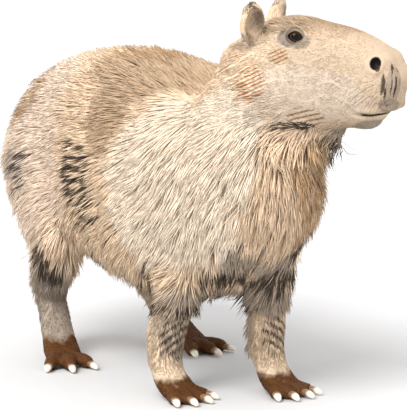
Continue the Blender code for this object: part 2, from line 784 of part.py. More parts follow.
def part_finder():
    """A function that tells in which part a point lies."""
    spaces = [head_space(0.0), neck_space(0.0)]
    spaces += [leg_space(foot, leg_keys(foot))(0.0) for foot in FEET]
    graph = bpy.context.evaluated_depsgraph_get()
    trees = [BVHTree.FromObject(space, graph) for space in spaces]
    for space in spaces:
        bpy.data.objects.remove(space)

    def part_of(point):
        inside = []
        for tree in trees:
            surface, out, _, _ = tree.find_nearest(point)
            inside.append((point - surface).dot(out) < 0)
        head, neck, *legs = inside
        if head or not any(legs):
            return head, neck
        return (*legs, point.z > KNEE_HEIGHT and any(legs[2:]), point.z > HOCK_HEIGHT and any(legs[2:]))

    return part_of


def part_all(flesh):
    """Parts the flesh into the head, the neck, the legs in their lengths, and the torso."""
    pieces = [part_off(flesh, head_space, "head")]
    for foot in FEET:
        kind, side = foot.split("_")
        if kind == "forefoot":
            leg = part_off(flesh, leg_space(foot, leg_keys(foot)), f"foreleg_{side}")
            pieces += [part_off(leg, below(WRIST_HEIGHT), foot), leg]
        else:
            thigh = part_off(flesh, leg_space(foot, leg_keys(foot)), f"thigh_{side}")
            shank = part_off(thigh, below(KNEE_HEIGHT), f"shank_{side}")
            pieces += [part_off(shank, below(HOCK_HEIGHT), foot), shank, thigh]
    pieces.append(part_off(flesh, neck_space, "neck"))
    flesh.name = "torso"
    pieces.append(flesh)
    return pieces


def centre_on_floor(pieces):
    """Moves every piece so that the whole stands on the floor, centred over the origin."""
    corners = [Vector(c) for p in pieces for c in p.bound_box]
    low = [min(c[i] for c in corners) for i in range(3)]
    high = [max(c[i] for c in corners) for i in range(3)]
    shift = Vector((-(low[0] + high[0]) / 2, -(low[1] + high[1]) / 2, -low[2]))
    for piece in pieces:
        piece.data.transform(Matrix.Translation(shift))


def linear(colour):
    """A colour written as three bytes, as the shader wants it."""
    parts = [c / 255 for c in colour]
    return [c / 12.92 if c <= 0.04045 else ((c + 0.055) / 1.055) ** 2.4 for c in parts]


def paint(piece):
    """Gives a piece a material of its own, in the colour of the part of the animal that it is."""
    for start, colour, roughness in COLOURS:
        if piece.name.startswith(start):
            break
    material = bpy.data.materials.new(piece.name)
    material.use_nodes = True
    shader = material.node_tree.nodes["Principled BSDF"]
    shader.inputs["Base Color"].default_value = (*linear(colour), 1)
    shader.inputs["Roughness"].default_value = roughness
    shader.inputs["Metallic"].default_value = 0.0
    piece.data.materials.clear()
    piece.data.materials.append(material)


def main():
    """Builds the animal and leaves its parts in a collection of their own."""
    for old in list(bpy.data.objects):
        bpy.data.objects.remove(old)
    flesh = build_flesh()
    melt(flesh)
    draw_in(flesh)
    points, normals = mesh_points(flesh.data)
    body = BVHTree.FromObject(flesh, bpy.context.evaluated_depsgraph_get())
    thin_out(flesh)
    grow_coat(flesh, choose_locks(points, normals, body, part_finder()))
    add_lids(flesh)
    carve_face(flesh)
    half = BEYOND / 2
    floor = box(Matrix.Identity(4), (-half, -half, -half), (half, half, SOLE_CUT), 0.0)
    combine(flesh, floor, "DIFFERENCE")
    for seat in build_claws(GAP).values():
        combine(flesh, seat, "DIFFERENCE")
    pieces = part_all(flesh)
    for side, word in ((1, "left"), (-1, "right")):
        pieces.append(build_ear(side, f"ear_{word}"))
        pieces.append(build_eye(side, f"eye_{word}"))
    pieces += build_claws().values()
    centre_on_floor(pieces)
    capybara = bpy.data.collections.new("capybara")
    bpy.context.scene.collection.children.link(capybara)
    for piece in pieces:
        bpy.context.scene.collection.objects.unlink(piece)
        capybara.objects.link(piece)
        paint(piece)


main()
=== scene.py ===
"""A life-size capybara: one skin over its frame, a coat of fine tufts over the skin, eyes, claws and whiskers.

Metres, +Z up. The animal faces +X with its left side towards +Y. Sizes are given in its own frame, which
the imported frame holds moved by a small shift.
"""

import logging
import math
from collections.abc import Sequence
from dataclasses import dataclass, field
from enum import Enum

import bmesh
import bpy
import numpy as np
from mathutils import Matrix, Vector
from mathutils.bvhtree import BVHTree


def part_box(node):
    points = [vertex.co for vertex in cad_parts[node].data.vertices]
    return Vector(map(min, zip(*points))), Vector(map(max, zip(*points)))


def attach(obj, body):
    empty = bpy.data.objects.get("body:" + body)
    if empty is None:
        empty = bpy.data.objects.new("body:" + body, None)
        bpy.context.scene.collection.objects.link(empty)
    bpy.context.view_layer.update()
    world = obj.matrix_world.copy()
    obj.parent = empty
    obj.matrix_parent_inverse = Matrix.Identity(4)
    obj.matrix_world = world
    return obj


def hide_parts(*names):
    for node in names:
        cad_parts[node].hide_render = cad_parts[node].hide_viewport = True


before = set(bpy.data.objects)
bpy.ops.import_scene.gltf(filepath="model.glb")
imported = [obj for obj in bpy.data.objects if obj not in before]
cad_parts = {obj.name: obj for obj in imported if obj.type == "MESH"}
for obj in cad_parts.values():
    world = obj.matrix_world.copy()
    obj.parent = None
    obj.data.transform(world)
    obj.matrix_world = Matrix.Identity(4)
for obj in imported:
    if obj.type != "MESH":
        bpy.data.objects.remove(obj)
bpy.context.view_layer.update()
LOG = logging.getLogger("capybara")

Array = np.ndarray
Triple = tuple[float, float, float]
Rings = tuple[tuple[float, float, float, float, float, float], ...]

MILLIMETRE = 0.001
GAP = 0.0003
SOLE_CUT = 0.003


class Side(Enum):
    """The two sides of the body, by the sign of y."""

    LEFT = 1
    RIGHT = -1

    @property
    def word(self) -> str:
        """The side's name in lower case."""
        return self.name.lower()


@dataclass(frozen=True)
class Foot:
    """Where one foot stands, which side it is on, how far its toes turn, and its toes."""

    name: str
    x: float
    y: float
    yaw: float
    toes: tuple[Triple, ...]
    toe_radius: float

    @property
    def mirror(self) -> int:
        """1 on the right side, as the legs are given, and -1 on the left."""
        return 1 if self.y < 0 else -1

    @property
    def fore(self) -> bool:
        """Whether this is a forefoot."""
        return self.name.startswith("fore")

    def place(self, turned: bool = False) -> Matrix:
        """The frame of the leg on this foot.

        Args:
            turned: Whether the frame turns with the toes.

        Returns:
            The matrix from the leg's frame to the animal's.
        """
        place = Matrix.Translation((self.x, self.y, 0))
        if turned:
            place = place @ Matrix.Rotation(self.yaw, 4, "Z")
        return place @ Matrix.Diagonal((1, self.mirror, 1, 1))


FORE_TOES = ((-0.024, -26, 0.032), (-0.008, -8, 0.043), (0.009, 8, 0.043), (0.025, 26, 0.030))
HIND_TOES = ((-0.022, -24, 0.042), (0.000, 0, 0.053), (0.022, 24, 0.042))
FEET = (
    Foot("forefoot_right", 0.198, -0.097, math.radians(12), FORE_TOES, 0.0120),
    Foot("forefoot_left", 0.246, 0.080, math.radians(8), FORE_TOES, 0.0120),
    Foot("hindfoot_right", -0.138, -0.154, math.radians(-14), HIND_TOES, 0.0135),
    Foot("hindfoot_left", -0.138, 0.114, math.radians(10), HIND_TOES, 0.0135),
)


@dataclass(frozen=True)
class HeadFrame:
    """The head's own frame: +X towards the nose, origin at the joint with the neck."""

    joint: Triple = (0.293, -0.016, 0.600)
    yaw: float = math.radians(44)
    pitch: float = math.radians(5.5)

    @property
    def place(self) -> Matrix:
        """The matrix from the head's frame to the animal's."""
        turn = Matrix.Rotation(self.yaw, 4, "Z") @ Matrix.Rotation(self.pitch, 4, "Y")
        return Matrix.Translation(self.joint) @ turn

    def local(self, points: Array) -> Array:
        """Points of the animal's frame in the head's.

        Args:
            points: An array of points, one a row.

        Returns:
            The same points in the head's frame.
        """
        frame = np.array(self.place.inverted())
        return points @ frame[:3, :3].T + frame[:3, 3]

    def turned(self, vectors: Array) -> Array:
        """Vectors of the head's frame, turned into the animal's."""
        return vectors @ np.array(self.place)[:3, :3].T


HEAD = HeadFrame()


@dataclass(frozen=True)
class EyePlace:
    """Where the eyes sit in the head's frame, and how they look out."""

    centre: Triple = (0.095, 0.0560, 0.047)
    radius: float = 0.0135
    lid_thickness: float = 0.0040
    opening: Triple = (0.0110, 0.0138, 0.0092)
    facing: Triple = (0.25, 0.95, 0.16)

    def middle(self, side: Side) -> Vector:
        """The middle of the eye on this side, in the head's frame."""
        x, y, z = self.centre
        return Vector((x, side.value * y, z))

    def turn(self, side: Side) -> Matrix:
        """The turn that takes +X to where the eye on this side looks."""
        x, y, z = self.facing
        return Vector((x, side.value * y, z)).to_track_quat("X", "Z").to_matrix().to_4x4()

    def add_opening(self, bm: bmesh.types.BMesh, front: Vector, side: Side) -> None:
        """Adds the almond that the lids are opened with to bm.

        Args:
            bm: The bmesh that it is added to.
            front: Its middle in the head's frame.
            side: The side of the head.
        """
        frame = HEAD.place @ Matrix.Translation(front) @ self.turn(side)
        for vert in bmesh.ops.create_uvsphere(bm, u_segments=48, v_segments=32, radius=1)["verts"]:
            x, y, z = vert.co
            shape = (x, y, z * (1 - 0.45 * abs(y) ** 1.6))
            vert.co = frame @ Vector([a * b for a, b in zip(shape, self.opening)])


EYE = EyePlace()


def shift_of_frame() -> Vector:
    """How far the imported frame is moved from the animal's own, read from where the right eye is."""
    low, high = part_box("eye_right")
    return (low + high) / 2 - HEAD.place @ EYE.middle(Side.RIGHT)


SHIFT = shift_of_frame()


def finish_mesh(bm: bmesh.types.BMesh, name: str) -> bpy.types.Object:
    """Makes an object of a bmesh, with its faces pointing out.

    Args:
        bm: The bmesh, which is freed.
        name: The object's name.

    Returns:
        The new object, linked to the scene.
    """
    bmesh.ops.recalc_face_normals(bm, faces=bm.faces)
    mesh = bpy.data.meshes.new(name)
    bm.to_mesh(mesh)
    bm.free()
    piece = bpy.data.objects.new(name, mesh)
    bpy.context.scene.collection.objects.link(piece)
    return piece


def apply_modifiers(piece: bpy.types.Object) -> None:
    """Makes the modifiers of a piece part of its mesh."""
    graph = bpy.context.evaluated_depsgraph_get()
    mesh = bpy.data.meshes.new_from_object(piece.evaluated_get(graph))
    piece.modifiers.clear()
    piece.data = mesh


def add_modifier(piece: bpy.types.Object, kind: str, **settings: object) -> None:
    """Adds a modifier with these settings to a piece and applies it."""
    modifier = piece.modifiers.new(kind.lower(), kind)
    for setting, value in settings.items():
        setattr(modifier, setting, value)
    apply_modifiers(piece)


def weigh(piece: bpy.types.Object, name: str, weights: Array) -> None:
    """Gives a piece a vertex group of this name with one weight a vertex."""
    group = piece.vertex_groups.new(name=name)
    steps = np.round(np.clip(weights, 0, 1) * 20).astype(int)
    for step in np.unique(steps):
        group.add(np.nonzero(steps == step)[0].tolist(), step / 20, "REPLACE")


def mesh_arrays(mesh: bpy.types.Mesh) -> tuple[Array, Array]:
    """The points of a mesh and their normals, as two arrays."""
    points = np.empty(len(mesh.vertices) * 3)
    mesh.vertices.foreach_get("co", points)
    normals = np.empty(len(mesh.vertices) * 3)
    mesh.vertices.foreach_get("normal", normals)
    return points.reshape(-1, 3), normals.reshape(-1, 3)


def move_points(mesh: bpy.types.Mesh, points: Array) -> None:
    """Puts the points of a mesh at new places."""
    mesh.vertices.foreach_set("co", points.ravel())
    mesh.update()


def triangles_of(mesh: bpy.types.Mesh) -> Array:
    """The triangles of a mesh as rows of three vertex numbers."""
    mesh.calc_loop_triangles()
    faces = np.empty(len(mesh.loop_triangles) * 3, np.int32)
    mesh.loop_triangles.foreach_get("vertices", faces)
    return faces.reshape(-1, 3)


def put_in_order(piece: bpy.types.Object) -> None:
    """Orders the vertices and faces of a piece by place, which gives the same mesh on each run."""
    points, _ = mesh_arrays(piece.data)
    order = np.lexsort(points.T)
    numbers = np.argsort(order).tolist()
    faces = []
    for face in piece.data.polygons:
        corners = [numbers[corner] for corner in face.vertices]
        first = corners.index(min(corners))
        faces.append(corners[first:] + corners[:first])
    piece.data = bpy.data.meshes.new(piece.name)
    piece.data.from_pydata(points[order].tolist(), [], sorted(faces))


def boolean(piece: bpy.types.Object, other: bpy.types.Object, operation: str) -> None:
    """Joins another closed piece to this one or cuts it away, and removes it."""
    add_modifier(piece, "BOOLEAN", operation=operation, solver="MANIFOLD", object=other)
    bpy.data.objects.remove(other)


def smoothed(keys: Rings, count: int) -> Array:
    """Rings read at even steps from a smooth curve through the key rings.

    Args:
        keys: The key rings.
        count: How many rings to read.

    Returns:
        The rings, one a row.
    """
    given = np.array(keys, float)
    padded = np.vstack([2 * given[0] - given[1], given, 2 * given[-1] - given[-2]])
    rings = []
    for step in np.linspace(0, len(given) - 1, count):
        i = min(int(step), len(given) - 2)
        t = step - i
        a, b, c, d = padded[i : i + 4]
        cubic = (3 * b - a - 3 * c + d) * t**3
        rings.append(0.5 * (2 * b + (c - a) * t + (2 * a - 5 * b + 4 * c - d) * t**2 + cubic))
    return np.array(rings)


def loop_edges(loop: Sequence[bmesh.types.BMVert]) -> list[bmesh.types.BMEdge]:
    """The edges round a ring of vertices."""
    own = set(loop)
    edges = {edge for vert in loop for edge in vert.link_edges if edge.other_vert(vert) in own}
    return list(edges)


def loft(
    bm: bmesh.types.BMesh,
    keys: Rings,
    place: Matrix | None = None,
    count: int = 28,
    sides: int = 28,
    square: float = 2.3,
) -> None:
    """Adds a closed body through the key rings to bm.

    Args:
        bm: The bmesh that it is added to.
        keys: Rings as centre, half width, reach up and reach down.
        place: The frame that the rings are given in.
        count: How many rings are made.
        sides: How many points are on a ring.
        square: The power of the rounded box that a ring is, 2 for an ellipse.
    """
    place = place or Matrix.Identity(4)
    rings = smoothed(keys, count)
    loops = []
    for i, (x, y, z, width, up, down) in enumerate(rings):
        ahead = Vector(rings[min(i + 1, count - 1)][:3] - rings[max(i - 1, 0)][:3]).normalized()
        across = Vector((0, 1, 0))
        across = (across - ahead * across.dot(ahead)).normalized()
        above = ahead.cross(across)
        loop = bmesh.ops.create_circle(bm, cap_ends=False, segments=sides, radius=1.0)["verts"]
        for vert in loop:
            c, s = vert.co.x, vert.co.y
            side = math.copysign(abs(c) ** (2 / square), c) * width
            rise = math.copysign(abs(s) ** (2 / square), s) * (up if s > 0 else down)
            vert.co = place @ (Vector((x, y, z)) + across * side + above * rise)
        loops.append(loop)
    bm.edges.index_update()
    for low, high in zip(loops, loops[1:]):
        bmesh.ops.bridge_loops(bm, edges=loop_edges(low) + loop_edges(high))
    for end in (loops[0], loops[-1]):
        bmesh.ops.contextual_create(bm, geom=loop_edges(end))


def ball(
    bm: bmesh.types.BMesh,
    centre: Sequence[float],
    radii: Sequence[float],
    place: Matrix | None = None,
    turn: Matrix | None = None,
    segments: int = 24,
) -> None:
    """Adds a ball of three radii to bm.

    Args:
        bm: The bmesh that it is added to.
        centre: Its middle in the frame of place.
        radii: Its three radii.
        place: The frame that it is given in.
        turn: Its turn about its middle.
        segments: How many sides it has.
    """
    shape = (place or Matrix.Identity(4)) @ Matrix.Translation(centre) @ (turn or Matrix.Identity(4))
    shape = shape @ Matrix.Diagonal((*radii, 1))
    bmesh.ops.create_uvsphere(bm, u_segments=segments, v_segments=segments * 2 // 3, radius=1, matrix=shape)


def mirrored_balls(bm: bmesh.types.BMesh, swellings: Rings, place: Matrix | None = None) -> None:
    """Adds each swelling to bm, on both sides unless it is on the midline."""
    for x, y, z, *radii in swellings:
        for side in (1, -1) if y else (1,):
            ball(bm, (x, side * y, z), radii, place)


@dataclass(frozen=True)
class Trunk:
    """The barrel of the body with the neck, shoulders, hips and throat."""

    barrel: Rings = (
        (-0.456, 0.0, 0.396, 0.030, 0.035, 0.045),
        (-0.438, 0.0, 0.392, 0.092, 0.085, 0.100),
        (-0.385, 0.0, 0.385, 0.138, 0.140, 0.145),
        (-0.285, 0.0, 0.383, 0.165, 0.180, 0.178),
        (-0.150, 0.0, 0.380, 0.178, 0.201, 0.190),
        (0.000, 0.0, 0.375, 0.184, 0.199, 0.200),
        (0.120, 0.0, 0.372, 0.170, 0.178, 0.198),
        (0.220, 0.0, 0.378, 0.146, 0.140, 0.176),
        (0.310, 0.0, 0.385, 0.108, 0.128, 0.140),
        (0.368, 0.0, 0.390, 0.078, 0.100, 0.105),
        (0.398, 0.0, 0.392, 0.042, 0.050, 0.056),
    )
    neck: Rings = (
        (0.020, 0.000, 0.390, 0.130, 0.140, 0.150),
        (0.140, 0.000, 0.430, 0.120, 0.080, 0.168),
        (0.235, -0.004, 0.490, 0.106, 0.048, 0.156),
        (0.300, 0.000, 0.552, 0.092, 0.040, 0.136),
        (0.340, 0.026, 0.600, 0.070, 0.036, 0.100),
    )
    swellings: Rings = (
        (0.165, 0.088, 0.400, 0.120, 0.078, 0.140),
        (0.230, 0.064, 0.320, 0.078, 0.056, 0.098),
        (-0.300, 0.080, 0.400, 0.110, 0.088, 0.130),
    )
    throat: Rings = (
        (0.362, 0.012, 0.455, 0.066, 0.072, 0.100),
        (0.352, -0.002, 0.395, 0.080, 0.085, 0.105),
    )

    def add_to(self, bm: bmesh.types.BMesh) -> None:
        """Adds the trunk's forms to bm."""
        loft(bm, self.barrel)
        loft(bm, self.neck)
        mirrored_balls(bm, self.swellings)
        for x, y, z, *radii in self.throat:
            ball(bm, (x, y, z), radii)


@dataclass(frozen=True)
class Skull:
    """The head's forms in its own frame."""

    rings: Rings = (
        (-0.045, 0.0, -0.004, 0.036, 0.018, 0.050),
        (-0.018, 0.0, -0.006, 0.062, 0.046, 0.084),
        (0.030, 0.0, -0.010, 0.077, 0.082, 0.100),
        (0.085, 0.0, -0.010, 0.079, 0.086, 0.103),
        (0.135, 0.0, -0.010, 0.070, 0.083, 0.097),
        (0.180, 0.0, -0.010, 0.061, 0.077, 0.088),
        (0.220, 0.0, -0.012, 0.057, 0.065, 0.080),
        (0.248, 0.0, -0.014, 0.053, 0.049, 0.058),
        (0.266, 0.0, -0.016, 0.045, 0.030, 0.047),
        (0.274, 0.0, -0.018, 0.030, 0.014, 0.034),
    )
    swellings: Rings = (
        (0.060, 0.048, -0.048, 0.050, 0.030, 0.046),
        (0.090, 0.044, 0.044, 0.034, 0.020, 0.022),
        (0.236, 0.028, 0.018, 0.026, 0.026, 0.024),
        (0.246, 0.022, -0.040, 0.026, 0.026, 0.026),
        (0.207, 0.000, -0.079, 0.036, 0.031, 0.018),
        (0.116, 0.000, -0.096, 0.064, 0.046, 0.050),
    )

    def add_to(self, bm: bmesh.types.BMesh) -> None:
        """Adds the head's forms to bm."""
        loft(bm, self.rings, HEAD.place, square=2.6)
        mirrored_balls(bm, self.swellings, HEAD.place)


@dataclass(frozen=True)
class Limbs:
    """The legs, given for a foot at (0, 0) on the right side, with +Y inwards, and the toes."""

    foreleg: Rings = (
        (0.030, 0.040, 0.400, 0.055, 0.080, 0.080),
        (0.012, 0.032, 0.320, 0.058, 0.070, 0.078),
        (-0.004, 0.022, 0.255, 0.047, 0.054, 0.062),
        (-0.018, 0.012, 0.190, 0.037, 0.041, 0.045),
        (-0.030, 0.006, 0.125, 0.031, 0.032, 0.034),
        (-0.034, 0.002, 0.075, 0.028, 0.028, 0.030),
        (-0.024, 0.000, 0.042, 0.029, 0.026, 0.025),
        (-0.004, 0.000, 0.025, 0.033, 0.020, 0.022),
        (0.012, 0.000, 0.017, 0.034, 0.015, 0.017),
    )
    thigh: Rings = (
        (-0.175, 0.055, 0.445, 0.060, 0.100, 0.110),
        (-0.150, 0.042, 0.380, 0.076, 0.135, 0.125),
        (-0.105, 0.028, 0.310, 0.070, 0.118, 0.100),
        (-0.062, 0.012, 0.250, 0.056, 0.078, 0.078),
        (-0.048, 0.006, 0.205, 0.044, 0.050, 0.056),
    )
    shank: Rings = (
        (-0.034, 0.008, 0.262, 0.048, 0.046, 0.068),
        (-0.062, 0.005, 0.205, 0.042, 0.043, 0.055),
        (-0.102, 0.002, 0.148, 0.034, 0.033, 0.038),
        (-0.126, 0.000, 0.112, 0.028, 0.026, 0.030),
        (-0.122, 0.000, 0.098, 0.024, 0.022, 0.026),
    )
    metatarsus: Rings = (
        (-0.134, 0.000, 0.120, 0.024, 0.020, 0.022),
        (-0.108, 0.000, 0.088, 0.028, 0.022, 0.023),
        (-0.070, 0.000, 0.053, 0.031, 0.021, 0.023),
        (-0.034, 0.000, 0.028, 0.035, 0.019, 0.021),
        (-0.006, 0.000, 0.017, 0.037, 0.015, 0.017),
    )
    turn_heights: tuple[float, float] = (0.12, 0.30)
    toe_root: float = 0.012
    toe_rings: tuple[Triple, ...] = (
        (-0.30, 1.25, 0.80),
        (0.25, 1.30, 1.00),
        (0.70, 1.05, 1.00),
        (0.92, 0.92, 0.88),
        (1.00, 0.85, 0.55),
    )

    def turned(self, foot: Foot, keys: Rings) -> Rings:
        """The key rings of a leg, turned about its foot as far as their height asks.

        Args:
            foot: The foot below the leg.
            keys: The leg's rings.

        Returns:
            The turned rings.
        """
        low, high = self.turn_heights
        rings = []
        for ring in keys:
            share = min(max((high - ring[2]) / (high - low), 0), 1)
            turn = Matrix.Rotation(foot.yaw * share * foot.mirror, 3, "Z")
            rings.append((*(turn @ Vector(ring[:3])), *ring[3:]))
        return tuple(rings)

    def toe(self, toe: Triple, radius: float) -> Rings:
        """The key rings of one toe, from inside the foot to its tip."""
        start, degrees, length = toe
        ahead = Vector((math.cos(math.radians(degrees)), math.sin(math.radians(degrees)), 0))
        rings = []
        for along, high, size in self.toe_rings:
            centre = Vector((self.toe_root, start, 0)) + ahead * (length * along)
            rings.append((centre.x, centre.y, radius * high, radius * size, radius * size, radius * size))
        return tuple(rings)

    def add_to(self, bm: bmesh.types.BMesh) -> None:
        """Adds the four legs with their toes to bm."""
        for foot in FEET:
            for keys in (self.foreleg,) if foot.fore else (self.thigh, self.shank, self.metatarsus):
                loft(bm, self.turned(foot, keys), foot.place())
            for toe in foot.toes:
                loft(bm, self.toe(toe, foot.toe_radius), foot.place(True), count=10, sides=12)


@dataclass(frozen=True)
class Ear:
    """An ear: a thin cup on the back of the head."""

    centre: Triple = (0.024, 0.070, 0.062)
    size: Triple = (0.0130, 0.0220, 0.0370)
    hollow: Triple = (0.0140, 0.0175, 0.0315)
    hollow_shift: float = 0.0062
    facing: float = math.radians(40)
    lean_left: float = math.radians(34)
    lean_right: float = math.radians(20)

    def turn(self, side: Side) -> Matrix:
        """The turn of the ear on this side."""
        lean = self.lean_left if side is Side.LEFT else self.lean_right
        return Matrix.Rotation(-side.value * lean, 4, "X") @ Matrix.Rotation(side.value * self.facing, 4, "Z")

    def middle(self, side: Side, shift: float = 0.0) -> Vector:
        """The middle of the ear on this side, moved by shift the way that it faces."""
        x, y, z = self.centre
        return Vector((x, side.value * y, z)) + self.turn(side) @ Vector((shift, 0, 0))

    def add_to(self, bm: bmesh.types.BMesh, side: Side) -> None:
        """Adds the ear's outer form to bm."""
        ball(bm, self.middle(side), self.size, HEAD.place, self.turn(side), segments=32)

    def add_hollow(self, bm: bmesh.types.BMesh, side: Side) -> None:
        """Adds the form that the cup is cut with to bm."""
        ball(bm, self.middle(side, self.hollow_shift), self.hollow, HEAD.place, self.turn(side), segments=32)


def gaussian(distance: Array, width: float) -> Array:
    """A bell of this half width, 1 where the distance is 0."""
    return np.exp(-((distance / width) ** 2))


@dataclass
class Skin:
    """The one skin over all the flesh, with the folds of the face."""

    trunk: Trunk = field(default_factory=Trunk)
    skull: Skull = field(default_factory=Skull)
    limbs: Limbs = field(default_factory=Limbs)
    ear: Ear = field(default_factory=Ear)
    voxel: float = 0.0045
    fine_voxel: float = 0.0024
    trunk_passes: int = 110
    detail_passes: int = 4
    bed_depth: float = 0.0105
    face_depth: float = 0.0012
    triangles: int = 150_000
    mouth: tuple[tuple[float, float], ...] = (
        (0.196, -0.069),
        (0.212, -0.067),
        (0.230, -0.067),
        (0.252, -0.062),
        (0.300, -0.048),
    )
    nostril: Triple = (0.2315, 0.0530, 0.0205)
    nostril_size: Triple = (0.0078, 0.0110, 0.0092)

    def detail(self, points: Array) -> Array:
        """How far each point belongs to the head or a foot, from 0 on the trunk to 1."""
        local = HEAD.local(points)
        head = np.interp(local[:, 0], (0.030, 0.110), (0, 1))
        head *= (points[:, 2] > 0.460) & (local[:, 2] > -0.120)
        foot = np.interp(points[:, 2], (0.110, 0.230), (1, 0))
        return np.maximum(head, foot)

    def on_head(self, points: Array) -> Array:
        """Which points are on the head or the ears, as fine parts of the skin."""
        local = HEAD.local(points)
        return (local[:, 0] > -0.02) & (local[:, 2] > -0.115) & (points[:, 2] > 0.45)

    def flesh(self) -> bpy.types.Object:
        """The whole animal as overlapping forms, melted into one and smoothed.

        Returns:
            The body, out to the envelope that the coat's tips reach.
        """
        bm = bmesh.new()
        self.trunk.add_to(bm)
        self.skull.add_to(bm)
        self.limbs.add_to(bm)
        body = finish_mesh(bm, "skin")
        add_modifier(body, "REMESH", mode="VOXEL", voxel_size=self.voxel)
        points, _ = mesh_arrays(body.data)
        weigh(body, "blend", 1 - 0.97 * self.detail(points))
        smooth = {"factor": 0.5, "iterations": self.trunk_passes, "vertex_group": "blend"}
        add_modifier(body, "SMOOTH", **smooth)
        add_modifier(body, "SMOOTH", factor=0.5, iterations=self.detail_passes)
        body.vertex_groups.clear()
        return body

    def draw_in(self, body: bpy.types.Object) -> None:
        """Draws the body in from the coat's envelope to the skin under the coat."""
        points, normals = mesh_arrays(body.data)
        depth = self.face_depth + (self.bed_depth - self.face_depth) * (1 - self.detail(points))
        move_points(body.data, points - normals * depth[:, None])

    def refine(self, body: bpy.types.Object) -> None:
        """Adds the ears and lids, melts all again at a finer grain, and thins out what the coat covers."""
        bm = bmesh.new()
        bm.from_mesh(body.data)
        lid = EYE.radius + GAP + EYE.lid_thickness - self.face_depth
        for side in Side:
            self.ear.add_to(bm, side)
            ball(bm, EYE.middle(side), (lid, lid, lid), HEAD.place, EYE.turn(side), segments=32)
        bm.to_mesh(body.data)
        bm.free()
        add_modifier(body, "REMESH", mode="VOXEL", voxel_size=self.fine_voxel)
        add_modifier(body, "SMOOTH", factor=0.5, iterations=3)
        points, _ = mesh_arrays(body.data)
        fine = self.on_head(points) | (points[:, 2] < 0.06)
        legs = (points[:, 2] < 0.25) & ~fine
        weigh(body, "thin", np.where(fine, 0.0, np.where(legs, 0.9, 1.0)))
        ratio = self.triangles / (2 * len(body.data.polygons))
        add_modifier(body, "DECIMATE", ratio=ratio, vertex_group="thin", use_collapse_triangulate=True)
        body.vertex_groups.clear()

    def fold(self, body: bpy.types.Object) -> None:
        """Presses the mouth, the cleft of the lip, the folds round eyes and nostrils into the face."""
        points, normals = mesh_arrays(body.data)
        local = HEAD.local(points)
        x, y, z = local.T
        face = self.on_head(points) & (x > 0.05)
        mouth_x, mouth_z = np.array(self.mouth).T
        line = np.interp(x, mouth_x, mouth_z)
        reach = np.interp(x, (0.200, 0.215), (0, 1)) * face
        push = -0.0075 * gaussian(z - line, 0.0028) * reach
        push += 0.0030 * gaussian(z - line - 0.0075, 0.0050) * reach
        push += 0.0012 * gaussian(z - line + 0.0065, 0.0040) * reach
        cleft = face & (x > 0.225) & (z < 0.020) & (z > line)
        push += -0.0030 * gaussian(y, 0.0028) * cleft
        push += 0.0012 * gaussian(np.abs(y) - 0.0090, 0.0060) * cleft
        for side in Side:
            away = local - np.array(EYE.middle(side))
            push += -0.0016 * gaussian(np.linalg.norm(away, axis=1) - 0.0215, 0.0022) * face
            rim = np.hypot(away[:, 0] / 0.026, away[:, 2] / 0.0175)
            push += -0.0012 * gaussian(rim - 1.0, 0.10) * face * (y * side.value > 0)
            nose = local - np.array((self.nostril[0], side.value * self.nostril[1], self.nostril[2]))
            nose = np.linalg.norm(nose / (0.0135, 0.02, 0.0160), axis=1)
            push += 0.0026 * gaussian(nose - 0.90, 0.25) * face
        move_points(body.data, points + normals * push[:, None])

    def open_up(self, body: bpy.types.Object) -> None:
        """Cuts the eyes' sockets and openings, the nostrils, the ears' cups and the flat soles."""
        bm = bmesh.new()
        radius = EYE.radius + GAP
        for side in Side:
            ball(bm, EYE.middle(side), (radius,) * 3, HEAD.place, EYE.turn(side), segments=48)
        boolean(body, finish_mesh(bm, "sockets"), "DIFFERENCE")
        bm = bmesh.new()
        x, y, z = self.nostril
        for side in Side:
            front = EYE.middle(side) + EYE.turn(side) @ Vector((EYE.radius, 0, 0))
            EYE.add_opening(bm, front, side)
            ball(bm, (x, side.value * y, z), self.nostril_size, HEAD.place, segments=24)
            ball(bm, (x + 0.0045, side.value * y, z - 0.0080), (0.0042, 0.0100, 0.0062), HEAD.place, segments=16)
            self.ear.add_hollow(bm, side)
        bmesh.ops.create_cube(bm, size=1, matrix=Matrix.Translation((0, 0, SOLE_CUT - 0.5)) @ Matrix.Diagonal((2, 2, 1, 1)))
        boolean(body, finish_mesh(bm, "cuts"), "DIFFERENCE")
        put_in_order(body)

    def build(self) -> bpy.types.Object:
        """Builds the skin.

        Returns:
            The skin, in the animal's own frame.
        """
        body = self.flesh()
        self.draw_in(body)
        self.refine(body)
        self.fold(body)
        self.open_up(body)
        bm = bmesh.new()
        bm.from_mesh(body.data)
        bmesh.ops.triangulate(bm, faces=bm.faces)
        bm.to_mesh(body.data)
        bm.free()
        body.data.shade_smooth()
        return body


@dataclass(frozen=True)
class Tuft:
    """One kind of tuft: its sizes, how it lies, and how closely its like are set.

    length, width and thickness are its own sizes. lift is how far its tip stands over the skin, and
    cling how closely its middle follows the body. lie is the way that it lies, in the head's frame if
    in_head is set. density counts tufts a square metre, and clump is how far the tufts of one lock
    draw together towards their tips.
    """

    length: float
    width: float
    thickness: float
    lift: float
    cling: float
    lie: Triple
    density: float
    clump: float
    in_head: bool = False


